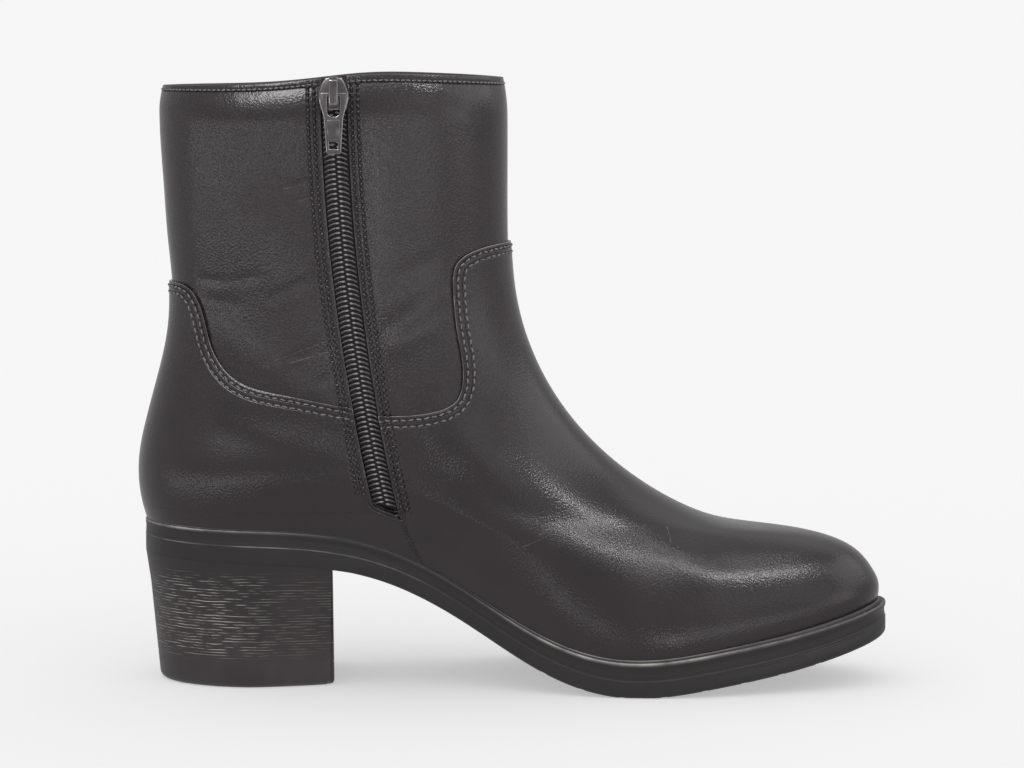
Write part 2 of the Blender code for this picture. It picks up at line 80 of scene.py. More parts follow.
def naturalCurve(keys, values, at):
    # smooth curve through the values at the keys, without bend at its two ends
    keys = np.asarray(keys, float)
    values = np.asarray(values, float)
    at = np.clip(np.asarray(at, float), keys[0], keys[-1])
    gap = np.diff(keys)
    matrix = np.eye(len(keys))
    right = np.zeros_like(values)
    for i in range(1, len(keys) - 1):
        matrix[i, i - 1:i + 2] = (gap[i - 1], 2 * (gap[i - 1] + gap[i]), gap[i])
        right[i] = 6 * ((values[i + 1] - values[i]) / gap[i] - (values[i] - values[i - 1]) / gap[i - 1])
    bend = np.linalg.solve(matrix, right)
    i = np.clip(np.searchsorted(keys, at) - 1, 0, len(gap) - 1)
    a = (keys[i + 1] - at) / gap[i]
    width = gap[i]
    if values.ndim > 1:
        a = a[..., None]
        width = width[..., None]
    b = 1 - a
    bent = (a ** 3 - a) * bend[i] + (b ** 3 - b) * bend[i + 1]
    return a * values[i] + b * values[i + 1] + bent * width ** 2 / 6


def soleTop(x):
    return naturalCurve(soleTopLine[:, 0], soleTopLine[:, 1], x)


def ringAt(height):
    columns = naturalCurve(ringTable[:, 0], ringTable[:, 1:], height)
    return {name: columns[..., i] for i, name in enumerate(ringColumns)}


def sideView(height, share):
    # x and z of a ring, at a share of its length from back to front
    row = ringAt(height)
    first = ringTable[0]
    x = row["backX"] + (row["frontX"] - row["backX"]) * share
    baseX = first[1] + (first[2] - first[1]) * share
    dip = soleTop(baseX) + lastShape["upperLift"] - first[0] - (first[3] - first[0]) * share
    return x, height + (row["frontZ"] - height) * share + row["sag"] * dip


def lastPoint(height, angle):
    # outer face of the upper: angle 0 is the back seam, pi the toe, inner side first
    height = np.clip(np.asarray(height, float), lastShape["feather"], lastShape["collar"])
    angle = np.asarray(angle, float)
    row = ringAt(height)
    x, z = sideView(height, (1 - np.cos(angle)) / 2)
    length = row["frontX"] - row["backX"]
    knots = [0.0] + [math.acos(1 - 2 * s) for s in lastShape["stations"]] + [math.pi]
    weights = naturalCurve(knots, np.eye(len(knots)), np.arccos(np.cos(angle)))
    reach = [np.sqrt(row["backRadius"] * length / 2)]
    widths = ("heel", "waist", "ball", "toe")
    reach += [row[name] / math.sin(knot) for name, knot in zip(widths, knots[1:-1])]
    reach.append(np.sqrt(row["frontRadius"] * length / 2))
    half = sum(weights[..., i] * reach[i] for i in range(len(knots)))
    toe = np.clip(x / lastShape["toeTip"], 0, 1.1)
    fade = np.clip(1 - (height - lastShape["join"]) / lastShape["archFade"], 0, 1)
    fromArch = (x - lastShape["archMiddle"]) / lastShape["archSpread"]
    arch = lastShape["archShift"] * fade * np.exp(-fromArch ** 2)
    y = arch - lastShape["toeSwing"] * toe ** 2 - half * np.sin(angle)
    return np.stack(np.broadcast_arrays(x, y, z), axis=-1)


def unit(vectors):
    return vectors / np.linalg.norm(vectors, axis=-1, keepdims=True)


def lastNormal(height, angle, turn=0.02, lift=0.4):
    # slope over a small turn of angle and a small lift of height
    height = np.asarray(height, float)
    along = lastPoint(height, angle + turn) - lastPoint(height, angle - turn)
    rise = lastPoint(height + lift, angle) - lastPoint(height - lift, angle)
    return unit(np.cross(along, rise))


def offLast(height, angle, distance):
    distance = np.asarray(distance, float)
    return lastPoint(height, angle) + lastNormal(height, angle) * distance[..., None]


def ringThrough(x, z):
    # height and share of the ring that passes a point of the side view
    low = np.full(np.shape(x), lastShape["feather"])
    high = np.full(np.shape(x), lastShape["collar"])
    for _ in range(40):
        height = (low + high) / 2
        row = ringAt(height)
        share = np.clip((x - row["backX"]) / (row["frontX"] - row["backX"]), 0, 1)
        above = sideView(height, share)[1] > z
        high = np.where(above, height, high)
        low = np.where(above, low, height)
    return height, share


# Small helpers of the workbench
def metres(points):
    return (np.asarray(points, float) + lastShape["centre"]) * mm


def pickOnly(piece):
    bpy.ops.object.select_all(action="DESELECT")
    piece.select_set(True)
    bpy.context.view_layer.objects.active = piece


def named(name):
    piece = bpy.context.object
    piece.name = name
    piece.data.name = name
    return piece


def layGrid(name, points):
    # a flat grid from the Add menu, its points laid in rows from bottom to top
    rows, columns = points.shape[:2]
    bpy.ops.object.select_all(action="DESELECT")
    bpy.ops.mesh.primitive_grid_add(x_subdivisions=columns - 1, y_subdivisions=rows - 1, size=2)
    piece = named(name)
    piece.data.vertices.foreach_set("co", metres(points).ravel())
    piece.data.update()
    return piece


def editAll(piece, *steps):
    pickOnly(piece)
    bpy.ops.object.mode_set(mode="EDIT")
    bpy.ops.mesh.select_all(action="SELECT")
    for step in steps:
        step()
    bpy.ops.object.mode_set(mode="OBJECT")


def closeSeams():
    bpy.ops.mesh.remove_doubles(threshold=0.00001)


def turnOut():
    bpy.ops.mesh.normals_make_consistent(inside=False)


def modify(piece, kind, **settings):
    modifier = piece.modifiers.new(kind.lower(), kind)
    for key, value in settings.items():
        setattr(modifier, key, value)
    pickOnly(piece)
    bpy.ops.object.modifier_apply(modifier=modifier.name)


def roundEdges(piece, width, segments=2, angle=50, finishes=()):
    # with two finishes the rounded edge takes the second one
    for look in finishes:
        piece.data.materials.append(look)
    modify(piece, "BEVEL", width=width * mm, segments=segments, limit_method="ANGLE",
           angle_limit=math.radians(angle), use_clamp_overlap=True, material=len(finishes) - 1)


def thicken(piece, thickness):
    modify(piece, "SOLIDIFY", thickness=thickness * mm, offset=-1.0, use_even_offset=True)


def noteDistance(piece, **distances):
    # mm from a seam at every point, which the leather's finish reads for its grooves
    for name, values in distances.items():
        attribute = piece.data.attributes.new(name, "FLOAT", "POINT")
        attribute.data.foreach_set("value", np.asarray(values, np.float32).ravel())


def settle(piece, look, slot, *nodes, body="boot", sharp=40):
    if not piece.data.materials:
        piece.data.materials.append(look)
    pickOnly(piece)
    bpy.ops.object.shade_smooth_by_angle(angle=math.radians(sharp))
    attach(piece, body)
    if nodes:
        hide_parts(*nodes)
    return piece


def copyAlong(name, template, centres, *axes):
    # one joined mesh with a copy of the template at every place, turned to the axes given for it
    axes = np.stack(axes, axis=-2)
    shape = np.array([vert.co for vert in template.data.vertices]) / mm
    points = centres[:, None, :] + np.einsum("vk,nkc->nvc", shape, axes)
    faces = [tuple(face.vertices) for face in template.data.polygons]
    starts = [n * len(shape) for n in range(len(centres))]
    every = [tuple(start + i for i in face) for start in starts for face in faces]
    mesh = bpy.data.meshes.new(name)
    mesh.from_pydata(metres(points.reshape(-1, 3)).tolist(), [], every)
    mesh.update()
    piece = bpy.data.objects.new(name, mesh)
    bpy.context.scene.collection.objects.link(piece)
    return piece


def joinAs(name, *pieces):
    bpy.ops.object.select_all(action="DESELECT")
    for piece in pieces:
        piece.select_set(True)
    bpy.context.view_layer.objects.active = pieces[0]
    bpy.ops.object.join()
    return named(name)


def lengthAlong(points):
    return np.concatenate(([0.0], np.cumsum(np.linalg.norm(np.diff(points, axis=0), axis=1))))


# Finishes
def hexColour(code):
    parts = [int(code[i:i + 2], 16) / 255 for i in (1, 3, 5)]
    return tuple(p / 12.92 if p <= 0.04045 else ((p + 0.055) / 1.055) ** 2.4 for p in parts) + (1.0,)


def newLook(name, **shaderSettings):
    look = bpy.data.materials.new(name)
    look.use_nodes = True
    tree = look.node_tree
    shader = tree.nodes["Principled BSDF"]
    for key, value in shaderSettings.items():
        shader.inputs[key.replace("_", " ")].default_value = value
    return look, tree, shader


def addNode(tree, kind, settings=None, links=None):
    # sockets by name or number: a colour Mix takes 0 share, 6 and 7 colours, a MapRange 1 to 4 from and to
    node = tree.nodes.new("ShaderNode" + kind)
    for key, value in (settings or {}).items():
        if isinstance(key, int) or key in node.inputs:
            node.inputs[key].default_value = value
        else:
            setattr(node, key, value)
    for key, source in (links or {}).items():
        tree.links.new(source, node.inputs[key])
    return node


def perMetre(sizeMm):
    # scale of a noise whose patches are about sizeMm wide
    return 1000.0 / sizeMm


def bandScale(sizeMm):
    # scale of a wave that repeats every sizeMm
    return math.pi / 10 * 1000.0 / sizeMm


leatherFinish = {
    "dark": "#241d21",
    "light": "#372e33",
    "paleWearAndHighlight": "#8d8583",
    "cloudMm": 26.0,  # patches of polish
    "pebbleMm": 0.75,  # grain, drawn a little coarse so that it shows
    "poreMm": 0.45,
    "raggedMm": 1.6,  # unevenness of the scratches
    "shakeMm": 0.7,
    "flecks": 0.17,  # how pale the shaft's grain tops are, rubbed and partly a painted glint
    "fleckZ": (78.0, 118.0),  # the foot is polished smooth, the shaft isn't
    "roughness": (0.20, 0.29),
    "pebbleDepth": 0.07,  # mm
    "puff": 2.2,  # the collar swells below its stitching
    "puffMm": (1.2, 12.5),
    "puckerMm": (7.0, 22.0),  # width and height of the puckers there
    "grooveDepth": 0.35,
    "edgeRows": (1.5, 3.7),  # stitch rows inside a panel's edge
    "zipRows": (-8.9, -6.7, 5.9, 8.1),  # stitch rows beside the zip's centre line
    "collarRows": (1.6,),
    "grooveHalf": 0.8,
}
# Rubbed scratches on the inner side: start x, z, end x, z and half width, mm
scuffs = (
    (9.9, 55.5, 16.8, 60.0, 0.14), (14.2, 61.0, 16.8, 61.4, 0.12), (3.8, 51.3, 9.9, 53.8, 0.11),
    (53.9, 56.4, 54.9, 51.7, 0.14), (-77.1, 173.2, -69.4, 174.7, 0.11),
    (-71.8, 169.1, -67.0, 170.4, 0.11), (-107.7, 141.5, -99.4, 140.8, 0.11),
    (-96.5, 140.6, -87.7, 142.6, 0.11), (-81.7, 113.8, -63.0, 121.3, 0.12),
    (-75.8, 113.4, -62.0, 117.6, 0.14),
)


def makeLeather():
    # full-grain cowhide, dyed through and polished: fine pebbles, a soft sheen, pale where it is rubbed, and
    # pale flecks on the shaft's grain that are partly a painted glint
    f = leatherFinish
    look, tree, shader = newLook("polishedCowhide", IOR=1.5, Coat_Weight=0.06, Coat_Roughness=0.2)
    place = addNode(tree, "TexCoord").outputs["Object"]
    cloud = addNode(tree, "TexNoise", {"Scale": perMetre(f["cloudMm"]), "Detail": 4.0}, {"Vector": place})
    tone = addNode(tree, "Mix", {"data_type": "RGBA", 6: hexColour(f["dark"]), 7: hexColour(f["light"])},
                   {0: cloud.outputs["Fac"]})
    # scuffs: distance to short listed lines, roughened by a fine noise
    ragged = addNode(tree, "TexNoise", {"Scale": perMetre(f["raggedMm"]), "Detail": 2.0}, {"Vector": place})
    sway = f["shakeMm"] * mm
    shake = addNode(tree, "VectorMath", {"operation": "MULTIPLY", 1: (sway, 0.0, sway)},
                    {0: ragged.outputs["Color"]})
    flat = addNode(tree, "VectorMath", {"operation": "MULTIPLY", 1: (1.0, 0.0, 1.0)}, {0: place})
    shaken = addNode(tree, "VectorMath", {"operation": "ADD"}, {0: flat.outputs[0], 1: shake.outputs[0]})
    wearAndSheen = None
    for x0, z0, x1, z1, half in scuffs:
        start = np.array((x0, 0.0, z0)) * mm
        run = np.array((x1 - x0, 0.0, z1 - z0)) * mm
        from0 = addNode(tree, "VectorMath", {"operation": "SUBTRACT", 1: start}, {0: shaken.outputs[0]})
        dot = addNode(tree, "VectorMath", {"operation": "DOT_PRODUCT", 1: run / (run @ run)},
                      {0: from0.outputs[0]})
        held = addNode(tree, "Clamp", {}, {0: dot.outputs["Value"]})
        foot = addNode(tree, "VectorMath", {"operation": "SCALE", 0: run}, {"Scale": held.outputs[0]})
        gap = addNode(tree, "VectorMath", {"operation": "DISTANCE"},
                      {0: from0.outputs[0], 1: foot.outputs[0]})
        mark = addNode(tree, "MapRange", {1: 0.0, 2: half * mm * 1.6, 3: 1.0, 4: 0.0},
                       {0: gap.outputs["Value"]})
        if wearAndSheen is None:
            wearAndSheen = mark.outputs[0]
        else:
            both = addNode(tree, "Math", {"operation": "MAXIMUM"}, {0: wearAndSheen, 1: mark.outputs[0]})
            wearAndSheen = both.outputs[0]
    sides = addNode(tree, "SeparateXYZ", {}, {0: place})
    inner = addNode(tree, "Math", {"operation": "LESS_THAN", 1: 0.0}, {0: sides.outputs["Y"]})
    wearAndSheen = addNode(tree, "Math", {"operation": "MULTIPLY"}, {0: wearAndSheen, 1: inner.outputs[0]}).outputs[0]
    breakUp = addNode(tree, "MapRange", {1: 0.35, 2: 0.65}, {0: ragged.outputs["Fac"]})
    wearAndSheen = addNode(tree, "Math", {"operation": "MULTIPLY"}, {0: wearAndSheen, 1: breakUp.outputs[0]}).outputs[0]
    # pale flecks on the tops of the shaft's grain: partly rubbed, partly a painted glint
    pore = addNode(tree, "TexNoise", {"Scale": perMetre(f["poreMm"]), "Detail": 2.0}, {"Vector": place})
    fleck = addNode(tree, "MapRange", {1: 0.46, 2: 0.72, 4: f["flecks"]}, {0: pore.outputs["Fac"]})
    foot, shaft = f["fleckZ"]
    high = addNode(tree, "MapRange", {1: foot * mm, 2: shaft * mm, 3: 0.15}, {0: sides.outputs["Z"]})
    fleck = addNode(tree, "Math", {"operation": "MULTIPLY"}, {0: fleck.outputs[0], 1: high.outputs[0]})
    wearAndSheen = addNode(tree, "Math", {"operation": "MAXIMUM"}, {0: wearAndSheen, 1: fleck.outputs[0]}).outputs[0]
    paleAndLit = addNode(tree, "Mix", {"data_type": "RGBA", 7: hexColour(f["paleWearAndHighlight"])}, {0: wearAndSheen, 6: tone.outputs[2]})
    tree.links.new(paleAndLit.outputs[2], shader.inputs["Base Color"])
    # gloss wanders with the polish
    bright, dull = f["roughness"]
    gloss = addNode(tree, "MapRange", {1: 0.3, 2: 0.7, 3: bright, 4: dull}, {0: cloud.outputs["Fac"]})
    tree.links.new(gloss.outputs[0], shader.inputs["Roughness"])
    # grain, then the grooves that the stitch rows pull in
    pebble = addNode(tree, "TexVoronoi",
                     {"feature": "SMOOTH_F1", "Scale": perMetre(f["pebbleMm"]), "Smoothness": 0.6},
                     {"Vector": place})
    grain = addNode(tree, "Math", {"operation": "MULTIPLY_ADD", 1: 0.5},
                    {0: pore.outputs["Fac"], 2: pebble.outputs["Distance"]})
    grainBump = addNode(tree, "Bump", {"Strength": 0.9, "Distance": f["pebbleDepth"] * mm},
                        {"Height": grain.outputs[0]})
    groove = None
    sewnRows = (("edgeMm", f["edgeRows"]), ("zipMm", f["zipRows"]), ("collarMm", f["collarRows"]))
    for attribute, rows in sewnRows:
        measured = addNode(tree, "Attribute", {"attribute_name": attribute}).outputs["Fac"]
        for row in rows:
            off = addNode(tree, "Math", {"operation": "SUBTRACT", 1: row}, {0: measured})
            near = addNode(tree, "Math", {"operation": "ABSOLUTE"}, {0: off.outputs[0]})
            dent = addNode(tree, "MapRange",
                           {"interpolation_type": "SMOOTHSTEP", 1: 0.0, 2: f["grooveHalf"], 3: 1.0, 4: 0.0},
                           {0: near.outputs[0]})
            if groove is None:
                groove = dent.outputs[0]
            else:
                both = addNode(tree, "Math", {"operation": "MAXIMUM"}, {0: groove, 1: dent.outputs[0]})
                groove = both.outputs[0]
    sewn = addNode(tree, "Bump", {"Strength": 0.9, "Distance": f["grooveDepth"] * mm, "invert": True},
                   {"Height": groove, "Normal": grainBump.outputs[0]})
    # the collar's swelling, broken by upright puckers
    below = addNode(tree, "Attribute", {"attribute_name": "collarMm"}).outputs["Fac"]
    crown, foot = f["puffMm"]
    near = addNode(tree, "MapRange", {1: crown, 2: foot, 3: 1.0, 4: 0.0}, {0: below})
    swell = addNode(tree, "Math", {"operation": "POWER", 1: 2.0}, {0: near.outputs[0]})
    wide, tall = f["puckerMm"]
    upright = addNode(tree, "Mapping", {"Scale": (1 / wide, 1 / wide, 1 / tall)}, {0: place})
    pucker = addNode(tree, "TexNoise", {"Scale": 1000.0, "Detail": 3.0}, {"Vector": upright.outputs[0]})
    uneven = addNode(tree, "MapRange", {1: 0.3, 2: 0.7, 3: 0.93, 4: 1.07}, {0: pucker.outputs["Fac"]})
    swell = addNode(tree, "Math", {"operation": "MULTIPLY"}, {0: swell.outputs[0], 1: uneven.outputs[0]})
    puffed = addNode(tree, "Bump", {"Strength": 1.0, "Distance": f["puff"] * mm, "invert": True},
                     {"Height": swell.outputs[0], "Normal": sewn.outputs[0]})
    tree.links.new(puffed.outputs[0], shader.inputs["Normal"])
    return look


edgeFinish = {"dark": "#352e31", "light": "#c2bcb7", "patchMm": 7.0, "roughness": 0.38}


def makeLeatherEdge():
    # folded and burnished leather edge: a pale line, partly rubbed and partly a painted highlight, dark where
    # the dye holds
    f = edgeFinish
    look, tree, shader = newLook("burnishedEdgeAndHighlight", Roughness=f["roughness"], IOR=1.5)
    place = addNode(tree, "TexCoord").outputs["Object"]
    patch = addNode(tree, "TexNoise", {"Scale": perMetre(f["patchMm"]), "Detail": 4.0},
                    {"Vector": place})
    paleAndLit = addNode(tree, "MapRange", {1: 0.3, 2: 0.58}, {0: patch.outputs["Fac"]})
    # only the lapped edge of a panel gets the pale line and its painted highlight, its seams and the slot
    # hardly
    fromEdge = addNode(tree, "Attribute", {"attribute_name": "edgeMm"}).outputs["Fac"]
    lapped = addNode(tree, "MapRange", {1: 1.0, 2: 2.5, 3: 1.0, 4: 0.12}, {0: fromEdge})
    paleAndLit = addNode(tree, "Math", {"operation": "MULTIPLY"},
                     {0: paleAndLit.outputs[0], 1: lapped.outputs[0]})
    tone = addNode(tree, "Mix", {"data_type": "RGBA", 6: hexColour(f["dark"]), 7: hexColour(f["light"])},
                   {0: paleAndLit.outputs[0]})
    tree.links.new(tone.outputs[2], shader.inputs["Base Color"])
    return look


rubberFinish = {
    "dark": "#1d191b",
    "light": "#2e292c",
    "paleWearAndHighlight": "#e6e1dc",
    "cloudMm": 18.0,
    "patchMm": 9.0,  # unevenness of the lip's painted highlight
    "mouldMm": 0.7,  # eroded mould face, drawn coarse
    "mouldDepth": 0.03,
    "roughness": (0.40, 0.55),
}


def makeRubber():
    # moulded black rubber: a satin skin with the fine tooth of the mould
    f = rubberFinish
    look, tree, shader = newLook("mouldedRubber", IOR=1.52)
    place = addNode(tree, "TexCoord").outputs["Object"]
    cloud = addNode(tree, "TexNoise", {"Scale": perMetre(f["cloudMm"]), "Detail": 5.0}, {"Vector": place})
    tone = addNode(tree, "Mix", {"data_type": "RGBA", 6: hexColour(f["dark"]), 7: hexColour(f["light"])},
                   {0: cloud.outputs["Fac"]})
    # painted highlight: the lips of the welt and the outsole, and the welt's bead, are painted bright
    lip = addNode(tree, "Attribute", {"attribute_name": "lipShine"}).outputs["Fac"]
    patch = addNode(tree, "TexNoise", {"Scale": perMetre(f["patchMm"]), "Detail": 5.0},
                    {"Vector": place})
    uneven = addNode(tree, "MapRange", {1: 0.38, 2: 0.66, 3: 0.3, 4: 1.0}, {0: patch.outputs["Fac"]})
    wearAndSheen = addNode(tree, "Math", {"operation": "MULTIPLY"}, {0: lip, 1: uneven.outputs[0]})
    colour = addNode(tree, "Mix", {"data_type": "RGBA", 7: hexColour(f["paleWearAndHighlight"])},
                     {0: wearAndSheen.outputs[0], 6: tone.outputs[2]})
    tree.links.new(colour.outputs[2], shader.inputs["Base Color"])
    bright, dull = f["roughness"]
    gloss = addNode(tree, "MapRange", {1: 0.3, 2: 0.7, 3: bright, 4: dull}, {0: cloud.outputs["Fac"]})
    tree.links.new(gloss.outputs[0], shader.inputs["Roughness"])
    tooth = addNode(tree, "TexNoise", {"Scale": perMetre(f["mouldMm"]), "Detail": 3.0}, {"Vector": place})
    bump = addNode(tree, "Bump", {"Strength": 0.5, "Distance": f["mouldDepth"] * mm},
                   {"Height": tooth.outputs["Fac"]})
    tree.links.new(bump.outputs[0], shader.inputs["Normal"])
    return look


heelFinish = {
    "dark": "#251f21",
    "light": "#463e40",
    "paleWearAndHighlight": "#f2ede8",
    "layerMm": 1.0,  # spacing of the level streaks
    "dashMm": (6.0, 0.8),  # length of a streak, and height over which it changes
    "streakDepth": 0.12,
    "cloudMm": 16.0,
    "foot": 6.0,  # the block is palest down here
    "lowest": 11.0,  # streaks stop above the heel tip
    "highest": 42.0,
    "wornX": (-80.0, -100.0),  # the rear half is rubbed most
    "spareX": (-115.0, -126.0),  # the back hardly
}


def makeStack():
    # heel block moulded to look like stacked leather: short level streaks, worn pale on their edges
    f = heelFinish
    lowest, highest = f["lowest"], f["highest"]
    look, tree, shader = newLook("stackedHeel", IOR=1.5, Roughness=0.45)
    place = addNode(tree, "TexCoord").outputs["Object"]
    long, tall = f["dashMm"]
    stretch = addNode(tree, "Mapping", {"Scale": (1 / long, 1 / long, 1 / tall)}, {0: place})
    dashes = addNode(tree, "TexNoise", {"Scale": 1000.0, "Detail": 2.0, "Roughness": 0.5},
                     {"Vector": stretch.outputs[0]})
    layers = addNode(tree, "TexWave",
                     {"bands_direction": "Z", "Scale": bandScale(f["layerMm"]), "Distortion": 2.2,
                      "Detail": 2.0, "Detail Scale": 0.6}, {"Vector": place})
    cloud = addNode(tree, "TexNoise", {"Scale": perMetre(f["cloudMm"]), "Detail": 3.0}, {"Vector": place})
    level = addNode(tree, "SeparateXYZ", {}, {0: place})
    above = addNode(tree, "MapRange",
                    {"interpolation_type": "SMOOTHSTEP", 1: (lowest - 2) * mm, 2: (lowest + 3) * mm},
                    {0: level.outputs["Z"]})
    below = addNode(tree, "MapRange",
                    {"interpolation_type": "SMOOTHSTEP", 1: (highest - 7) * mm, 2: highest * mm,
                     3: 1.0, 4: 0.0},
                    {0: level.outputs["Z"]})
    band = addNode(tree, "Math", {"operation": "MULTIPLY"}, {0: above.outputs[0], 1: below.outputs[0]})
    rear = addNode(tree, "MapRange", {1: f["wornX"][0] * mm, 2: f["wornX"][1] * mm, 3: 0.22},
                   {0: level.outputs["X"]})
    back = addNode(tree, "MapRange", {1: f["spareX"][0] * mm, 2: f["spareX"][1] * mm, 3: 1.0, 4: 0.2},
                   {0: level.outputs["X"]})
    dash = addNode(tree, "MapRange", {1: 0.44, 2: 0.62}, {0: dashes.outputs["Fac"]})
    line = addNode(tree, "MapRange", {1: 0.87, 2: 1.0}, {0: layers.outputs["Fac"]})
    shown = line.outputs[0]
    for part in (dash, band, rear, back):
        shown = addNode(tree, "Math", {"operation": "MULTIPLY"}, {0: shown, 1: part.outputs[0]}).outputs[0]
    lower = addNode(tree, "MapRange", {1: highest * mm, 2: f["foot"] * mm, 3: 0.5, 4: 1.5},
                    {0: level.outputs["Z"]})
    mottle = addNode(tree, "Math", {"operation": "MULTIPLY"},
                     {0: cloud.outputs["Fac"], 1: lower.outputs[0]})
    tone = addNode(tree, "Mix", {"data_type": "RGBA", 6: hexColour(f["dark"]), 7: hexColour(f["light"])},
                   {0: mottle.outputs[0]})
    colour = addNode(tree, "Mix", {"data_type": "RGBA", 7: hexColour(f["paleWearAndHighlight"])}, {0: shown, 6: tone.outputs[2]})
    tree.links.new(colour.outputs[2], shader.inputs["Base Color"])
    bump = addNode(tree, "Bump", {"Strength": 0.8, "Distance": f["streakDepth"] * mm}, {"Height": shown})
    tree.links.new(bump.outputs[0], shader.inputs["Normal"])
    return look


liningFinish = {"dark": "#4a4744", "light": "#625e5a", "threadMm": 0.9, "weaveDepth": 0.12, "cloudMm": 22.0}


def makeLining():
    # brushed grey textile lining: a plain weave under a short nap
    f = liningFinish
    look, tree, shader = newLook("wovenLining", Roughness=0.9, Sheen_Weight=0.3, Sheen_Roughness=0.5)
    place = addNode(tree, "TexCoord").outputs["Object"]
    wave = {"Scale": bandScale(f["threadMm"]), "Distortion": 0.4, "Detail": 1.0}
    across = addNode(tree, "TexWave", {**wave, "bands_direction": "X"}, {"Vector": place})
    up = addNode(tree, "TexWave", {**wave, "bands_direction": "Z"}, {"Vector": place})
    weave = addNode(tree, "Math", {"operation": "MULTIPLY"},
                    {0: across.outputs["Fac"], 1: up.outputs["Fac"]})
    cloud = addNode(tree, "TexNoise", {"Scale": perMetre(f["cloudMm"]), "Detail": 4.0}, {"Vector": place})
    blend = addNode(tree, "Math", {"operation": "MULTIPLY_ADD", 1: 0.4},
                    {0: weave.outputs[0], 2: cloud.outputs["Fac"]})
    tone = addNode(tree, "Mix", {"data_type": "RGBA", 6: hexColour(f["dark"]), 7: hexColour(f["light"])},
                   {0: blend.outputs[0]})
    tree.links.new(tone.outputs[2], shader.inputs["Base Color"])
    bump = addNode(tree, "Bump", {"Strength": 0.6, "Distance": f["weaveDepth"] * mm},
                   {"Height": weave.outputs[0]})
    tree.links.new(bump.outputs[0], shader.inputs["Normal"])
    return look


threadFinish = {"dark": "#5a5557", "light": "#b3afae", "plyMm": 0.5, "plyDepth": 0.08, "cloudMm": 3.0}


def makeThread():
    # waxed black polyester thread: twisted plies with a dull shine; its grey tone, far paler than black, is a
    # painted highlight
    f = threadFinish
    look, tree, shader = newLook("waxedThread", Roughness=0.34, IOR=1.5)
    place = addNode(tree, "TexCoord").outputs["Object"]
    cloud = addNode(tree, "TexNoise", {"Scale": perMetre(f["cloudMm"]), "Detail": 3.0}, {"Vector": place})
    tone = addNode(tree, "Mix", {"data_type": "RGBA", 6: hexColour(f["dark"]), 7: hexColour(f["light"])},
                   {0: cloud.outputs["Fac"]})
    tree.links.new(tone.outputs[2], shader.inputs["Base Color"])
    ply = addNode(tree, "TexWave", {"Scale": bandScale(f["plyMm"]), "bands_direction": "DIAGONAL"},
                  {"Vector": place})
    bump = addNode(tree, "Bump", {"Strength": 0.4, "Distance": f["plyDepth"] * mm},
                   {"Height": ply.outputs["Fac"]})
    tree.links.new(bump.outputs[0], shader.inputs["Normal"])
    return look


tapeFinish = {"dark": "#262325", "light": "#3a3638", "ribMm": 0.6, "ribDepth": 0.1}


def makeTape():
    # woven polyester zip tape: close ribs along the zip
    f = tapeFinish
    look, tree, shader = newLook("wovenTape", Roughness=0.85, Sheen_Weight=0.2)
    place = addNode(tree, "TexCoord").outputs["Object"]
    rib = addNode(tree, "TexWave",
                  {"Scale": bandScale(f["ribMm"]), "bands_direction": "X", "Distortion": 0.6},
                  {"Vector": place})
    tone = addNode(tree, "Mix", {"data_type": "RGBA", 6: hexColour(f["dark"]), 7: hexColour(f["light"])},
                   {0: rib.outputs["Fac"]})
    tree.links.new(tone.outputs[2], shader.inputs["Base Color"])
    bump = addNode(tree, "Bump", {"Strength": 0.7, "Distance": f["ribDepth"] * mm},
                   {"Height": rib.outputs["Fac"]})
    tree.links.new(bump.outputs[0], shader.inputs["Normal"])
    return look


coilFinish = {
    "dark": "#5a5557",
    "light": "#777274",
    "paleWearAndHighlight": "#c4c0bd",
    "cloudMm": 4.0,
    "highlightMm": (1.0, 1.8),  # from the zip's middle, where the painted highlight fades out
}


def makeCoil():
    # nylon monofilament coil: smooth, with a clear highlight on every turn
    f = coilFinish
    look, tree, shader = newLook("nylonCoil", Roughness=0.24, IOR=1.53)
    place = addNode(tree, "TexCoord").outputs["Object"]
    cloud = addNode(tree, "TexNoise", {"Scale": perMetre(f["cloudMm"]), "Detail": 2.0}, {"Vector": place})
    tone = addNode(tree, "Mix", {"data_type": "RGBA", 6: hexColour(f["dark"]), 7: hexColour(f["light"])},
                   {0: cloud.outputs["Fac"]})
    # painted highlight on the heads of the turns, near the middle
    middle = addNode(tree, "Attribute", {"attribute_name": "middleMm"}).outputs["Fac"]
    near, far = f["highlightMm"]
    wearAndSheen = addNode(tree, "MapRange", {1: near, 2: far, 3: 0.75, 4: 0.0}, {0: middle})
    colour = addNode(tree, "Mix", {"data_type": "RGBA", 7: hexColour(f["paleWearAndHighlight"])},
                     {0: wearAndSheen.outputs[0], 6: tone.outputs[2]})
    tree.links.new(colour.outputs[2], shader.inputs["Base Color"])
    return look


metalFinish = {
    "dark": "#535052",
    "light": "#757273",
    "edge": "#a5a19e",
    "cloudMm": 5.0,
    "castMm": 0.5,
    "castDepth": 0.03,
    "roughness": (0.28, 0.42),
}


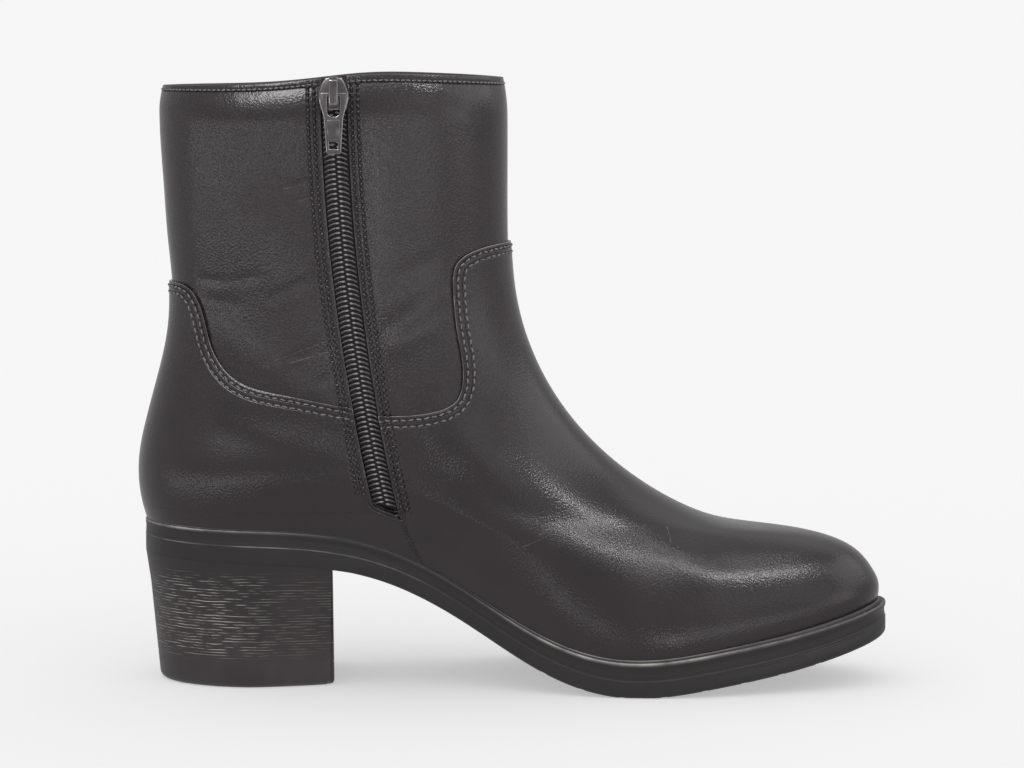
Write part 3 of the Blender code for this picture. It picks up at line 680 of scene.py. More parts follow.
def makeMetal():
    # die-cast zinc under a gun-metal plating: satin, brighter on the rubbed parts
    f = metalFinish
    look, tree, shader = newLook("gunMetalZinc", Metallic=1.0)
    place = addNode(tree, "TexCoord").outputs["Object"]
    cloud = addNode(tree, "TexNoise", {"Scale": perMetre(f["cloudMm"]), "Detail": 3.0}, {"Vector": place})
    tone = addNode(tree, "Mix", {"data_type": "RGBA", 6: hexColour(f["dark"]), 7: hexColour(f["light"])},
                   {0: cloud.outputs["Fac"]})
    tree.links.new(tone.outputs[2], shader.inputs["Base Color"])
    bright, dull = f["roughness"]
    gloss = addNode(tree, "MapRange", {1: 0.3, 2: 0.7, 3: bright, 4: dull}, {0: cloud.outputs["Fac"]})
    tree.links.new(gloss.outputs[0], shader.inputs["Roughness"])
    cast = addNode(tree, "TexNoise", {"Scale": perMetre(f["castMm"]), "Detail": 2.0}, {"Vector": place})
    bump = addNode(tree, "Bump", {"Strength": 0.4, "Distance": f["castDepth"] * mm},
                   {"Height": cast.outputs["Fac"]})
    tree.links.new(bump.outputs[0], shader.inputs["Normal"])
    return look


def makeMetalEdge():
    # the same plating worn through on the edges: bright bare zinc, its brightness partly a painted highlight on
    # the bevels
    f = metalFinish
    look, tree, shader = newLook("bareZincEdgeAndHighlight", Metallic=1.0, Roughness=0.24)
    place = addNode(tree, "TexCoord").outputs["Object"]
    cloud = addNode(tree, "TexNoise", {"Scale": perMetre(f["cloudMm"]), "Detail": 3.0}, {"Vector": place})
    tone = addNode(tree, "Mix", {"data_type": "RGBA", 6: hexColour(f["light"]), 7: hexColour(f["edge"])},
                   {0: cloud.outputs["Fac"]})
    tree.links.new(tone.outputs[2], shader.inputs["Base Color"])
    return look


leather = makeLeather()
leatherEdge = makeLeatherEdge()
rubber = makeRubber()
stackLook = makeStack()
lining = makeLining()
thread = makeThread()
tapeLook = makeTape()
coilLook = makeCoil()
metal = makeMetal()
metalEdge = makeMetalEdge()
print("finishes mixed")

# Zip line and panel edges, seen from the side in mm
zipLine = {"top": (-60.4, 209.7), "end": (-43.3, 62.9), "lean": 30.0, "slotHalf": 4.5, "slotRound": 2.0}
panelShape = {
    "lapGap": 0.5,
    "thick": 0.8,
    "skive": 0.32,  # how much the lapped edge is pared down
    "skiveMm": 1.3,
    "seamGap": 0.15,
    "tuck": 1.0,  # how far the leather goes down behind the welt
    "edgeRound": 0.42,
    "besideZip": (98.6, 95.4),  # height of the rear and the front edge where they meet the zip
    "rearEdge": ((-119.0, 139.6), (-112.5, 138.6), (-106.6, 130.0), (-103.0, 117.0), (-95.5, 107.4),
                 (-77.8, 102.0), (-57.0, 98.2), (-50.0, 97.2)),
    "frontEdge": ((-50.0, 95.4), (-41.5, 95.4), (-27.5, 96.4), (-19.6, 100.0), (-17.4, 108.0), (-19.2, 122.0),
                  (-20.8, 138.0), (-19.4, 147.0), (-13.0, 151.2), (-1.0, 153.4)),
}
panelFace = panelShape["lapGap"] + panelShape["thick"]
farAway = 99.0  # mm, for a point that no seam is near


def zipX(z):
    top, end = zipLine["top"], zipLine["end"]
    drop = (top[1] - z) / (top[1] - end[1])
    return top[0] + (end[0] - top[0]) * drop ** 2 + zipLine["lean"] * np.maximum(0, drop - 1)


def zipAngle(height, across=0.0):
    # angle on a ring of the line that runs beside the zip's centre line
    row = ringAt(height)
    length = row["frontX"] - row["backX"]
    share = np.full(np.shape(height), 0.45)
    for _ in range(12):
        share = (zipX(sideView(height, share)[1]) - row["backX"]) / length
    return np.arccos(1 - 2 * (share + across / length))


slotEnd = float(ringThrough(np.array(zipLine["end"][0]), np.array(zipLine["end"][1]))[0])


def slotHalf(height, spare=0.0):
    # the slot closes in a round end
    up = np.clip((height - slotEnd + spare) / zipLine["slotRound"], 0, 1)
    return (zipLine["slotHalf"] + spare) * np.sqrt(1 - (1 - up) ** 2)


# Creases of the leather on the inner side: start x, z, end x, z, half width and depth, mm
creases = (
    (-77.4, 173.2, -66.0, 175.4, 1.9, 0.14), (-73.0, 168.6, -63.0, 171.6, 1.7, 0.10),
    (-109.0, 141.2, -98.0, 140.6, 2.2, 0.16), (-97.0, 140.6, -86.0, 143.2, 2.0, 0.14),
    (-85.0, 134.4, -68.5, 142.0, 2.4, 0.15), (-108.0, 134.0, -92.0, 132.5, 3.4, 0.18),
    (-88.7, 107.1, -63.0, 121.6, 2.2, 0.18), (-76.5, 113.2, -61.5, 117.9, 1.9, 0.18),
    (-71.7, 101.0, -60.8, 110.2, 2.0, 0.14), (-44.0, 124.0, -21.5, 138.6, 5.5, -0.35),
    (-46.0, 116.0, -26.0, 126.0, 4.5, 0.16), (-45.0, 140.0, -24.0, 150.0, 4.0, 0.16),
    (-30.0, 86.0, 0.0, 102.0, 7.0, 0.10), (-22.0, 72.0, 4.0, 88.0, 6.5, 0.08),
    (3.5, 51.3, 16.5, 60.2, 1.6, 0.05), (-104.0, 92.0, -74.0, 84.0, 7.0, 0.30),
    # the vamp's flex: a shallow trough above, and a roll that runs down to the toe box
    (24.8, 78.3, 31.5, 58.5, 8.5, 0.06), (31.0, 64.5, 74.0, 35.0, 8.0, -0.45),
)
outerShift = (5.0, -3.0)  # the outer side's creases lie a little further on and lower


def creased(points):
    # how far the leather stands in or out: soft troughs with raised lips, running out at their ends
    x, y, z = np.moveaxis(points, -1, 0)
    move = np.zeros(x.shape)
    outer = y > 0
    xs = x - np.where(outer, outerShift[0], 0)
    zs = z - np.where(outer, outerShift[1], 0)
    for x0, z0, x1, z1, half, depth in creases:
        run = np.array((x1 - x0, z1 - z0))
        t = np.clip(((xs - x0) * run[0] + (zs - z0) * run[1]) / (run @ run), 0, 1)
        away = ((xs - x0 - run[0] * t) ** 2 + (zs - z0 - run[1] * t) ** 2) / half ** 2
        move -= depth * (1 - (2 * t - 1) ** 4) * (1 - 0.9 * away) * np.exp(-away)
    return move


def fromLine(points, line):
    # shortest distance of every point to a row of points
    flat = points.reshape(-1, 3)
    found = np.empty(len(flat))
    for i in range(0, len(flat), 2000):
        found[i:i + 2000] = np.sqrt(((flat[i:i + 2000, None] - line[None]) ** 2).sum(-1).min(1))
    return found.reshape(points.shape[:-1])


def edgePath(table, inset):
    # a panel's edge in the side view, drawn in towards the sole: heights and angles on the inner side
    knots = np.array(table)
    run = lengthAlong(knots)
    line = naturalCurve(run, knots, np.linspace(0, run[-1], 220))
    along = unit(np.gradient(line, axis=0))
    line = line + np.stack((along[:, 1], -along[:, 0]), axis=-1) * inset
    height, share = ringThrough(line[:, 0], line[:, 1])
    return line, height, np.arccos(1 - 2 * share)


def zipDistance(points):
    across = points[..., 0] - zipX(points[..., 2])
    clear = (points[..., 1] < 0) & (points[..., 2] > zipLine["end"][1] - 1)
    return np.where(clear, across, farAway)


upperShape = {
    "leather": 1.25,
    "lining": 0.6,
    "liningGap": 0.1,
    "slotSpare": 0.3,  # the lining's slot is this much wider
    "columns": 250,
    "liningColumns": 140,
    "shaftFoot": 97.0,  # closer rows from here up, where the upper shows
    "rimRound": 0.45,
    "roll": 1.5,
    "rollDepth": 10.0,
}


def collarRoll(height):
    # the padded collar leans in towards its rim
    near = np.clip(1 - (lastShape["collar"] - height) / upperShape["rollDepth"], 0, 1)
    return -upperShape["roll"] * near ** 2


def aroundShaft(stops, counts, columns, spare=0.0):
    # a sheet from one side of the slot right round to the other, with so many rows from stop to stop
    rows = [np.linspace(a, b, n, endpoint=False) for a, b, n in zip(stops, stops[1:], counts)]
    heights = np.concatenate(rows + [stops[-1:]])
    half = slotHalf(heights, spare)
    start = zipAngle(heights, half)
    end = zipAngle(heights, -half) + 2 * math.pi
    angles = start[:, None] + (end - start)[:, None] * np.linspace(0, 1, columns + 1)
    return np.broadcast_to(heights[:, None], angles.shape), angles


def makeUpper():
    s = upperShape
    low, high = lastShape["feather"], lastShape["collar"]
    rounded = slotEnd + zipLine["slotRound"]
    stops = (low, slotEnd, rounded, s["shaftFoot"], high)
    tall, angles = aroundShaft(stops, (12, 6, 12, 97), s["columns"])
    bare = lastPoint(tall, angles)
    points = offLast(tall, angles, creased(bare) + collarRoll(tall))
    piece = layGrid("upper_leather", points)
    noteDistance(piece, edgeMm=np.full(tall.shape, farAway), zipMm=zipDistance(bare), collarMm=high - tall)
    editAll(piece, closeSeams)
    thicken(piece, s["leather"])
    roundEdges(piece, s["rimRound"], finishes=(leather, leatherEdge))
    settle(piece, leather, "leather", "upper")
    # the lining hangs just inside
    stops = (low + 1, rounded + 2, high - 0.5)
    tall, angles = aroundShaft(stops, (15, 49), s["liningColumns"], s["slotSpare"])
    inside = layGrid("shaft_lining", offLast(tall, angles, collarRoll(tall) - s["leather"] - s["liningGap"]))
    editAll(inside, closeSeams)
    thicken(inside, s["lining"])
    settle(inside, lining, "lining")


makeUpper()
print("upper laid over the last")


def panelGrid(edge, span, columns, rows, ease):
    # heights and angles of a panel that runs from the welt up to its edge line
    share, height = edge
    across = np.linspace(-1, 1, 601)

    def climb(q):
        # the edge's height and the angle there depend on each other, so both are closed in on
        top = np.full(q.shape, 110.0)
        for _ in range(50):
            here = (1 - np.cos(span(q, top))) / 2
            top = 0.5 * top + 0.5 * np.interp(here, share, height)
        return top

    top = climb(across)
    x, z = sideView(top, (1 - np.cos(span(across, top))) / 2)
    run = lengthAlong(np.stack((x, z), axis=-1))
    measure = run / run[-1] + across + 1
    q = np.interp(np.linspace(0, measure[-1], columns + 1), measure, across)
    top = climb(q)
    low = lastShape["join"] - panelShape["tuck"]
    rise = (np.arange(rows + 1) / rows) ** ease
    heights = low + (top - low)[None, :] * rise[:, None]
    return heights, span(np.broadcast_to(q, heights.shape), heights)


def frontSpan(q, height):
    inner = zipAngle(height, zipLine["slotHalf"])
    outer = zipAngle(height, panelShape["seamGap"] / 2)
    return math.pi + q * (math.pi - np.where(q < 0, inner, outer))


def rearSpan(q, height):
    beside = zipAngle(height, -zipLine["slotHalf"])
    below = zipAngle(height, zipLine["slotHalf"] - panelShape["seamGap"])
    blend = np.clip(slotEnd + 0.4 - height, 0, 1)
    outer = zipAngle(height, -panelShape["seamGap"] / 2)
    return q * np.where(q > 0, beside + (below - beside) * blend, outer)


def makePanel(name, node, table, span, columns, rows, ease):
    _, height, angle = edgePath(table, 0.0)
    edge = (np.maximum.accumulate((1 - np.cos(angle)) / 2), height)
    heights, angles = panelGrid(edge, span, columns, rows, ease)
    bare = lastPoint(heights, angles)
    fromEdge = fromLine(bare, bare[-1])
    pared = panelShape["skive"] * np.exp(-(fromEdge / panelShape["skiveMm"]) ** 2)
    piece = layGrid(name, offLast(heights, angles, panelFace + creased(bare) - pared))
    noteDistance(piece, edgeMm=fromEdge, zipMm=zipDistance(bare),
                 collarMm=np.full(heights.shape, farAway))
    thicken(piece, panelFace - 0.05)
    roundEdges(piece, panelShape["edgeRound"], finishes=(leather, leatherEdge))
    return settle(piece, leather, "leather", node)


makePanel("front_leather", "front_panel", panelShape["frontEdge"], frontSpan, 300, 84, 1.35)
makePanel("rear_leather", "rear_panel", panelShape["rearEdge"], rearSpan, 210, 70, 1.0)
print("panels lapped over the upper")

# Seams: every row is sewn from one stitch, copied along it
stitchShape = {
    "edge": {"pitch": 2.7, "length": 1.9, "radius": 0.32, "sway": 0.16},
    "zip": {"pitch": 2.0, "length": 1.75, "radius": 0.56, "sway": 0.6, "look": leather},
    "collar": {"pitch": 1.9, "length": 1.6, "radius": 0.30, "sway": 0.15},
    "side": {"pitch": 1.6, "length": 1.2, "radius": 0.22, "sway": 0.0, "look": leather},
    "sunk": 0.02,
    "holeRadius": 0.42,
    "clear": 1.0,  # rows stop this far from the slot and the side seam
    "climb": 0.8,  # length over which a row climbs onto a panel
    "blunt": 0.75,
    "dive": 0.7,  # how far a stitch's ends go down into the leather
    "belowZip": (-1.1, 0.7),  # rows beside the short seam under the zip
    "outerSeam": (1.6, 3.8),  # rows beside the outer side's seam
}


def modelStitch(length, radius):
    bpy.ops.object.select_all(action="DESELECT")
    bpy.ops.mesh.primitive_uv_sphere_add(segments=8, ring_count=7, radius=1.0)
    stitch = named("stitch_pattern")
    editAll(stitch, lambda: bpy.ops.transform.rotate(value=math.pi / 2, orient_axis="Y",
                                                     center_override=(0, 0, 0)))
    for vert in stitch.data.vertices:
        x, y, z = vert.co
        plump = math.copysign(abs(x) ** stitchShape["blunt"], x)
        arch = 1 - stitchShape["dive"] * plump ** 2
        lift = z * radius * 0.9 + radius * 0.6 * (arch - 0.5)
        vert.co = (plump * length / 2 * mm, y * radius * mm, lift * mm)
    return stitch


def modelHole(radius):
    # the needle hole: a small dark matt disc, painted shade where the thread goes in
    bpy.ops.object.select_all(action="DESELECT")
    bpy.ops.mesh.primitive_uv_sphere_add(segments=8, ring_count=5, radius=radius * mm)
    hole = named("hole_pattern")
    editAll(hole, lambda: bpy.ops.transform.resize(value=(1.0, 1.0, 0.35)))
    return hole


def sewRow(height, angle, lift, pitch):
    # places of the stitches along a line on the boot, and of the needle holes between them
    lift = lift + creased(lastPoint(height, angle))
    line = offLast(height, angle, lift)
    run = lengthAlong(line)
    count = max(2, int(run[-1] / pitch))
    rows = []
    for at in ((np.arange(count) + 0.5) * run[-1] / count, np.arange(1, count) * run[-1] / count):
        spots = []
        for shift in (-0.25, 0.0, 0.25):
            where = np.clip(at + shift, 0, run[-1])
            h, a, up = (np.interp(where, run, row) for row in (height, angle, lift))
            spots.append((offLast(h, a, up), lastNormal(h, a)))
        rows.append((spots[1][0], unit(spots[2][0] - spots[0][0]), spots[1][1]))
    return rows


def sewAll(name, kind, lines):
    size = stitchShape[kind]
    stitches, holes = [], []
    for height, angle, lift in lines:
        sewn, pierced = sewRow(height, angle, lift, size["pitch"])
        stitches.append(sewn)
        holes.append(pierced)
    stitch = modelStitch(size["length"], size["radius"])
    hole = modelHole(stitchShape["holeRadius"])
    # the needle holes take the dark tape finish: painted shade
    for label, template, places, look, sunk in (
            (name + "_stitches", stitch, stitches, size.get("look", thread), stitchShape["sunk"]),
            (name + "_needle_hole_shade", hole, holes, tapeLook, 0.0)):
        centres, tangents, normals = (np.concatenate([row[k] for row in places]) for k in range(3))
        normals = unit(normals - tangents * (normals * tangents).sum(-1, keepdims=True))
        turned = size["sway"] * np.where(np.arange(len(centres)) % 2, 1.0, -1.0)
        tangents = unit(tangents + np.cross(normals, tangents) * turned[:, None])
        sideways = np.cross(normals, tangents)
        piece = copyAlong(label, template, centres - normals * sunk, tangents, sideways, normals)
        settle(piece, look, "leather", sharp=80)
        bpy.data.objects.remove(template, do_unlink=True)


def edgeRows():
    # from the zip along the inner side, over the front or the back, and along the outer side
    rows = []
    spare = stitchShape["clear"]
    for inset in leatherFinish["edgeRows"]:
        for edge, side, whole in (("frontEdge", 1, 2 * math.pi), ("rearEdge", -1, 0.0)):
            line, height, angle = (row[::side] for row in edgePath(panelShape[edge], inset))
            clear = side * (line[:, 0] - zipX(line[:, 1]))
            inner = clear > zipLine["slotHalf"] + spare
            outer = clear > spare
            height = np.concatenate((height[inner], height[outer][::-1]))
            angle = np.concatenate((angle[inner], whole - angle[outer][::-1]))
            rows.append((height, angle, np.full(height.shape, panelFace)))
    return rows


def liftBeside(height, angle, edgeZ):
    # rows that run down the zip climb from the shaft onto the panels
    z = lastPoint(height, angle)[..., 2]
    return panelFace * np.clip((edgeZ - z) / stitchShape["climb"] + 0.5, 0, 1) + collarRoll(height)


def zipRows():
    rows = []
    rearZ, frontZ = panelShape["besideZip"]
    height = np.linspace(slotEnd + 3.0, lastShape["collar"] - 1.2, 300)
    for across in leatherFinish["zipRows"]:
        angle = zipAngle(height, across)
        rows.append((height, angle, liftBeside(height, angle, rearZ if across < 0 else frontZ)))
    return rows


def collarRow():
    share = np.linspace(0, 1, 400)
    high = np.full(share.shape, lastShape["collar"] - leatherFinish["collarRows"][0])
    start = zipAngle(high, zipLine["slotHalf"] + stitchShape["clear"])
    end = zipAngle(high, -zipLine["slotHalf"] - stitchShape["clear"]) + 2 * math.pi
    return [(high, start + (end - start) * share, collarRoll(high))]


def sideSeamRows():
    # the seam below the zip, and the whole seam of the outer side
    low = np.linspace(lastShape["join"] + 1.0, slotEnd - 2.6, 80)
    rows = [(low, zipAngle(low, zipLine["slotHalf"] + across), np.full(low.shape, panelFace))
            for across in stitchShape["belowZip"]]
    line, height, _ = edgePath(panelShape["frontEdge"], 0.0)
    top = float(np.interp(0.0, line[:, 0] - zipX(line[:, 1]), height)) - 3.0
    whole = np.linspace(lastShape["join"] + 1.5, top, 200)
    for across in stitchShape["outerSeam"]:
        rows.append((whole, 2 * math.pi - zipAngle(whole, across), np.full(whole.shape, panelFace)))
    return rows


sewAll("panel_edge", "edge", edgeRows())
sewAll("zip_edge", "zip", zipRows())
sewAll("collar", "collar", collarRow())
sewAll("side_seam", "side", sideSeamRows())

lipShape = {
    "rolls": ((0.5, 0.34), (2.0, 0.5)),  # distance from the slot and radius
    "deep": 2.2,
    "square": 0.62,  # 1 is a round end, less is squarer
    "sweep": (0.94, 2.06),  # half turns about the slot's end
    "fade": 0.3,  # share of the sweep over which the rolls run out
}


def makeSlotLip():
    # the leather is turned under below the zip in two small rolls
    s = lipShape
    turn = math.pi * np.linspace(*s["sweep"], 61)
    round8 = np.linspace(0, 2 * math.pi, 9)
    rolls = []

    def squared(wave):
        return np.sign(wave) * np.abs(wave) ** s["square"]

    for away, radius in s["rolls"]:
        across = (zipLine["slotHalf"] + away) * squared(np.cos(turn))
        height = slotEnd + s["deep"] + (s["deep"] + away) * squared(np.sin(turn))
        angle = zipAngle(height, across)
        centre = offLast(height, angle, np.full(turn.shape, panelFace + 0.02))
        out = lastNormal(height, angle)
        side = unit(np.cross(out, np.gradient(centre, axis=0)))
        fromEnd = 1.08 - np.abs(turn / math.pi - 1.5) / 0.56
        thick = radius * np.clip(fromEnd, 0.02, s["fade"]) / s["fade"]
        cos, sin = (wave(round8)[:, None, None] for wave in (np.cos, np.sin))
        ring = side[None] * cos + out[None] * sin
        roll = layGrid("lip_roll", centre[None] + ring * thick[None, :, None])
        editAll(roll, closeSeams, turnOut)
        rolls.append(roll)
    settle(joinAs("slot_end_lip", *rolls), leather, "leather", sharp=60)


makeSlotLip()
print("seams sewn")

# Zip: tape behind the slot, and a coil of two rows of turns that lock at the middle
zipShape = {
    "tapeHalf": 10.5,
    "tapeThick": 0.6,
    "tapeTail": 4.0,
    "tapeTop": 3.0,  # below the collar, as the next ones
    "coilTop": 7.0,
    "cordTop": 2.2,
    "behind": -2.5,
    "pitch": 1.67,
    "coilHalf": 4.1,
    "headGap": 0.3,  # a turn's head stops this far from the middle
    "wire": 0.32,
    "crown": 0.6,
    "slant": 1.2,
    "base": -0.6,
    "coilFoot": 1.8,  # above the slot's end
    "cordFoot": 0.8,
    "cordHalf": 4.35,
    "cordLevel": -0.95,
    "cordSag": 0.2,
    "cordThick": 0.7,
}


def makeTapePiece():
    z = zipShape
    heights = np.linspace(slotEnd - z["tapeTail"], lastShape["collar"] - z["tapeTop"], 70)
    across = np.linspace(-z["tapeHalf"], z["tapeHalf"], 15)
    angles = np.stack([zipAngle(heights, a) for a in across], axis=1)
    tall = np.broadcast_to(heights[:, None], angles.shape)
    piece = layGrid("woven_tape", offLast(tall, angles, np.full(tall.shape, z["behind"])))
    thicken(piece, z["tapeThick"])
    roundEdges(piece, 0.15)
    settle(piece, tapeLook, "zip_tape", "zip_tape")


def modelTurn():
    # one turn of the coil: a bar from the outer side, arched over, to a plump head near the middle
    z = zipShape
    bpy.ops.object.select_all(action="DESELECT")
    bpy.ops.mesh.primitive_cylinder_add(vertices=8, radius=1.0, depth=2.0, end_fill_type="TRIFAN")
    turn = named("coil_turn")
    bpy.ops.object.mode_set(mode="EDIT")
    for level in np.linspace(-1, 1, 10)[1:-1]:
        bpy.ops.mesh.select_all(action="SELECT")
        bpy.ops.mesh.bisect(plane_co=(0, 0, level), plane_no=(0, 0, 1))
    bpy.ops.object.mode_set(mode="OBJECT")
    for vert in turn.data.vertices:
        x, y, t = vert.co.x, vert.co.y, (vert.co.z + 1) / 2
        plump = z["wire"] * (1 + 0.28 * t ** 3) * min(1.0, 0.35 + 5 * min(t, 1 - t) ** 0.6)
        across = z["coilHalf"] * (1 - t) + z["headGap"] * t
        lift = z["crown"] * math.sin(math.pi * min(1.0, 0.12 + 0.62 * t)) + z["base"]
        down = -z["slant"] * (1 - t) ** 2.3
        vert.co = (across * mm, (down + y * plump * 0.95) * mm, (lift + x * plump) * mm)
    return turn


def makeCoilPiece():
    z = zipShape
    turn = modelTurn()
    height = np.linspace(slotEnd + z["coilFoot"], lastShape["collar"] - z["coilTop"], 400)
    run = lengthAlong(lastPoint(height, zipAngle(height)))
    count = int(run[-1] / z["pitch"])
    fromMiddle = np.array([abs(vert.co.x) for vert in turn.data.vertices]) / mm
    halves = []
    for side, phase in ((1, 0.0), (-1, 0.5)):
        at = (np.arange(count) + phase) * z["pitch"] + 0.4
        tall = np.interp(at, run, height)
        centre = lastPoint(tall, zipAngle(tall))
        out = lastNormal(tall, zipAngle(tall))
        across = unit(np.cross((0.0, 0.0, 1.0), out))  # the turns lie level, whatever the zip's lean
        half = copyAlong("coil_half", turn, centre, across * side, np.cross(out, across), out)
        noteDistance(half, middleMm=np.tile(fromMiddle, count))
        halves.append(half)
    bpy.data.objects.remove(turn, do_unlink=True)
    # the cord that the turns are woven round
    heights = np.linspace(slotEnd + z["cordFoot"], lastShape["collar"] - z["cordTop"], 60)
    around = np.linspace(-1, 1, 13)
    angles = np.stack([zipAngle(heights, a * z["cordHalf"]) for a in around], axis=1)
    tall = np.broadcast_to(heights[:, None], angles.shape)
    level = np.broadcast_to(z["cordLevel"] - z["cordSag"] * around ** 2, tall.shape)
    cord = layGrid("coil_cord", offLast(tall, angles, level))
    thicken(cord, z["cordThick"])
    coil = joinAs("zip_coil", *halves)
    editAll(coil, turnOut)
    settle(coil, coilLook, "zip_coil", "zip_chain", sharp=60)
    settle(cord, tapeLook, "zip_coil")


makeTapePiece()
makeCoilPiece()
print("zip coil laid")

# Slider and pull tab, in the zip's own frame: x across, y into the boot, z up
sliderShape = {
    "hingeZ": 204.8,
    "plate": ((2.6, 5.7), (4.0, 3.6), (5.1, 0.6), (5.1, -1.6), (4.4, -5.3)),  # right half
    "plateFront": -2.6,
    "plateBack": -0.6,
    "bail": ((-1.8, 6.0), (-4.7, 6.0), (-6.0, 4.8), (-6.0, -3.2), (-5.0, -4.4), (-1.8, -4.4), (-1.8, -3.2),
             (-4.4, -3.2), (-4.8, -2.7), (-4.8, 4.2), (-4.2, 4.8), (-1.8, 4.8)),
    "bailHalf": 1.5,
    "plateRound": 0.5,
    "bailRound": 0.3,
}
tabShape = {
    "front": -4.35,
    "back": -3.05,
    "outline": ((4.1, 0.65), (4.5, 0.2), (4.45, -3.2), (3.3, -7.9), (2.75, -15.5), (2.55, -19.3),
                (2.1, -20.0)),  # right halves, as the next ones
    "hole": ((2.1, -0.65), (2.1, -5.9), (1.75, -6.8), (0.9, -7.3)),
    "slot": ((1.55, -15.9), (1.45, -18.3)),
    "badge": ((2.3, -8.5), (1.9, -15.1)),  # raised blank panel
    "badgeProud": 0.28,
    "badgeSunk": 0.3,
    "badgeRound": 0.15,
    "rounding": 0.26,
}


def cutPlate(name, outline, front, back, rounding, onSide=False):
    # a flat outline, pulled through to its thickness
    bpy.ops.object.select_all(action="DESELECT")
    bpy.ops.mesh.primitive_circle_add(vertices=len(outline), radius=0.01, fill_type="NGON")
    plate = named(name)
    for vert, (a, b) in zip(plate.data.vertices, outline):
        vert.co = (front * mm, a * mm, b * mm) if onSide else (a * mm, front * mm, b * mm)
    pull = ((back - front) * mm, 0, 0) if onSide else (0, (back - front) * mm, 0)
    editAll(plate, lambda: bpy.ops.mesh.extrude_region_move(TRANSFORM_OT_translate={"value": pull}))
    editAll(plate, turnOut)
    if rounding:
        roundEdges(plate, rounding, angle=30, finishes=(metal, metalEdge))
    return plate


def mirrored(half):
    return list(half) + [(-x, z) for x, z in reversed(half)]


def toZip(piece):
    # from the zip's own frame to its place on the boot
    z = sliderShape["hingeZ"]
    height = ringThrough(np.array(float(zipX(z))), np.array(z))[0]
    angle = zipAngle(height)
    out = lastNormal(height, angle)
    piece.location = metres(lastPoint(height, angle))
    piece.rotation_euler = (0, 0, math.atan2(out[0], -out[1]))
    pickOnly(piece)
    bpy.ops.object.transform_apply(location=True, rotation=True, scale=True)


def cutOut(piece, cutter):
    modify(piece, "BOOLEAN", operation="DIFFERENCE", solver="EXACT", object=cutter)
    bpy.data.objects.remove(cutter, do_unlink=True)


def makeSlider():
    s = sliderShape
    plate = cutPlate("plate", mirrored(s["plate"]), s["plateFront"], s["plateBack"], s["plateRound"])
    bail = cutPlate("bail", s["bail"], -s["bailHalf"], s["bailHalf"], s["bailRound"], onSide=True)
    slider = joinAs("slider_with_bail", plate, bail)
    toZip(slider)
    settle(slider, metal, "zip_metal", "zip_slider")


def makePullTab():
    t = tabShape
    tab = cutPlate("tab", mirrored(t["outline"]), t["front"], t["back"], 0)
    for hole in ("hole", "slot"):
        cutOut(tab, cutPlate(hole, mirrored(t[hole]), t["front"] - 1, t["back"] + 1, 0))
    roundEdges(tab, t["rounding"], angle=30, finishes=(metal, metalEdge))
    badge = cutPlate("badge", mirrored(t["badge"]), t["front"] - t["badgeProud"], t["front"] + t["badgeSunk"],
                     t["badgeRound"])
    tab = joinAs("zip_pull", tab, badge)
    toZip(tab)
    settle(tab, metal, "zip_metal", "pull_tab", body="pull_tab")


makeSlider()
makePullTab()
print("slider and pull tab fitted")

# Sole: welt, outsole and heel
soleShape = {
    "thick": 7.2,
    "ledgeX": (-70.0, -20.0, 35.0, 110.0),
    "ledge": (1.6, 2.0, 3.0, 4.2),  # how far the sole stands out beyond the upper
    "columns": 320,
    "edgeRound": (0.12, 1.4),  # lower edge at the heel seat and further on
    "edgeStep": (0.3, 1.0),  # how much of the step under the welt shows there
    "roundX": (-62.0, -56.0),  # where the lower edge changes
    "stepX": (-62.0, -20.0),
    "ridgeX": (60.0, 100.0),  # the toe's ridges rise along this stretch
    "ridge": 0.2,
    "underRows": 14,
    "overRows": 4,
    "grooves": (10.5, 23.5, 37.0, 51.5, 65.5, 79.0, 92.0, 105.0),
    "groove": (2.0, 1.6),  # width, and twice the depth
    "grooveShort": 4.0,  # the full depth stops this far inside the sole's edge
    "nick": (2.0, 0.6),  # the shallow end that shows at the edge
    "nickLong": 8.0,  # and runs out this far past it
    "rib": (1.0, 1.0),  # short fine grooves between the long ones
    "ribLength": 40.0,
    "reach": 4.0,  # stretch of the edge that a groove's length is taken from
}
# its edge below the welt: inset at the full step and drop from the top in mm, and 1 in a hollow between ridges
soleEdge = ((0.0, 2.9, 0), (0.0, 2.55, 1), (0.0, 2.2, 0), (0.0, 1.85, 1), (0.0, 1.5, 0), (0.06, 1.2, 0),
            (0.34, 0.95, 0), (0.36, 0.45, 0), (0.36, 0.12, 0), (0.5, 0.0, 0))
soleHighlightRow = 5  # the row of these that gets a painted highlight
# how much painted highlight it gets along the boot: x and share
soleHighlightAlong = ((-128.0, 0.0), (-118.0, 0.5), (-104.0, 0.1), (-88.0, 0.5), (-62.0, 0.4), (-20.0, 0.05))
# welt from its foot to its outer lip: inset from the sole's edge in mm, share of its height
weltEdge = ((0.42, 0.00), (0.46, 0.08), (0.46, 0.38), (0.38, 0.47), (0.12, 0.56), (0.02, 0.66), (0.06, 0.76),
            (0.22, 0.85))
# then over its top to a bead against the leather: share of the free ledge, share of the height
weltTop = ((0.14, 0.89), (0.30, 0.89), (0.50, 0.86), (0.66, 0.85), (0.76, 0.93), (0.86, 1.02), (0.94, 1.03),
           (1.02, 0.96))
weltShape = {"inside": 0.5, "lift": 0.02, "lipInset": 0.26, "recessX": (-90.0, -55.0), "recess": (0.3, 1.0)}
# rows of the welt's lip and bead that get a painted highlight
weltHighlightRows = {7: 0.3, 8: 1.0, 9: 0.8, 14: 0.5, 15: 0.35}
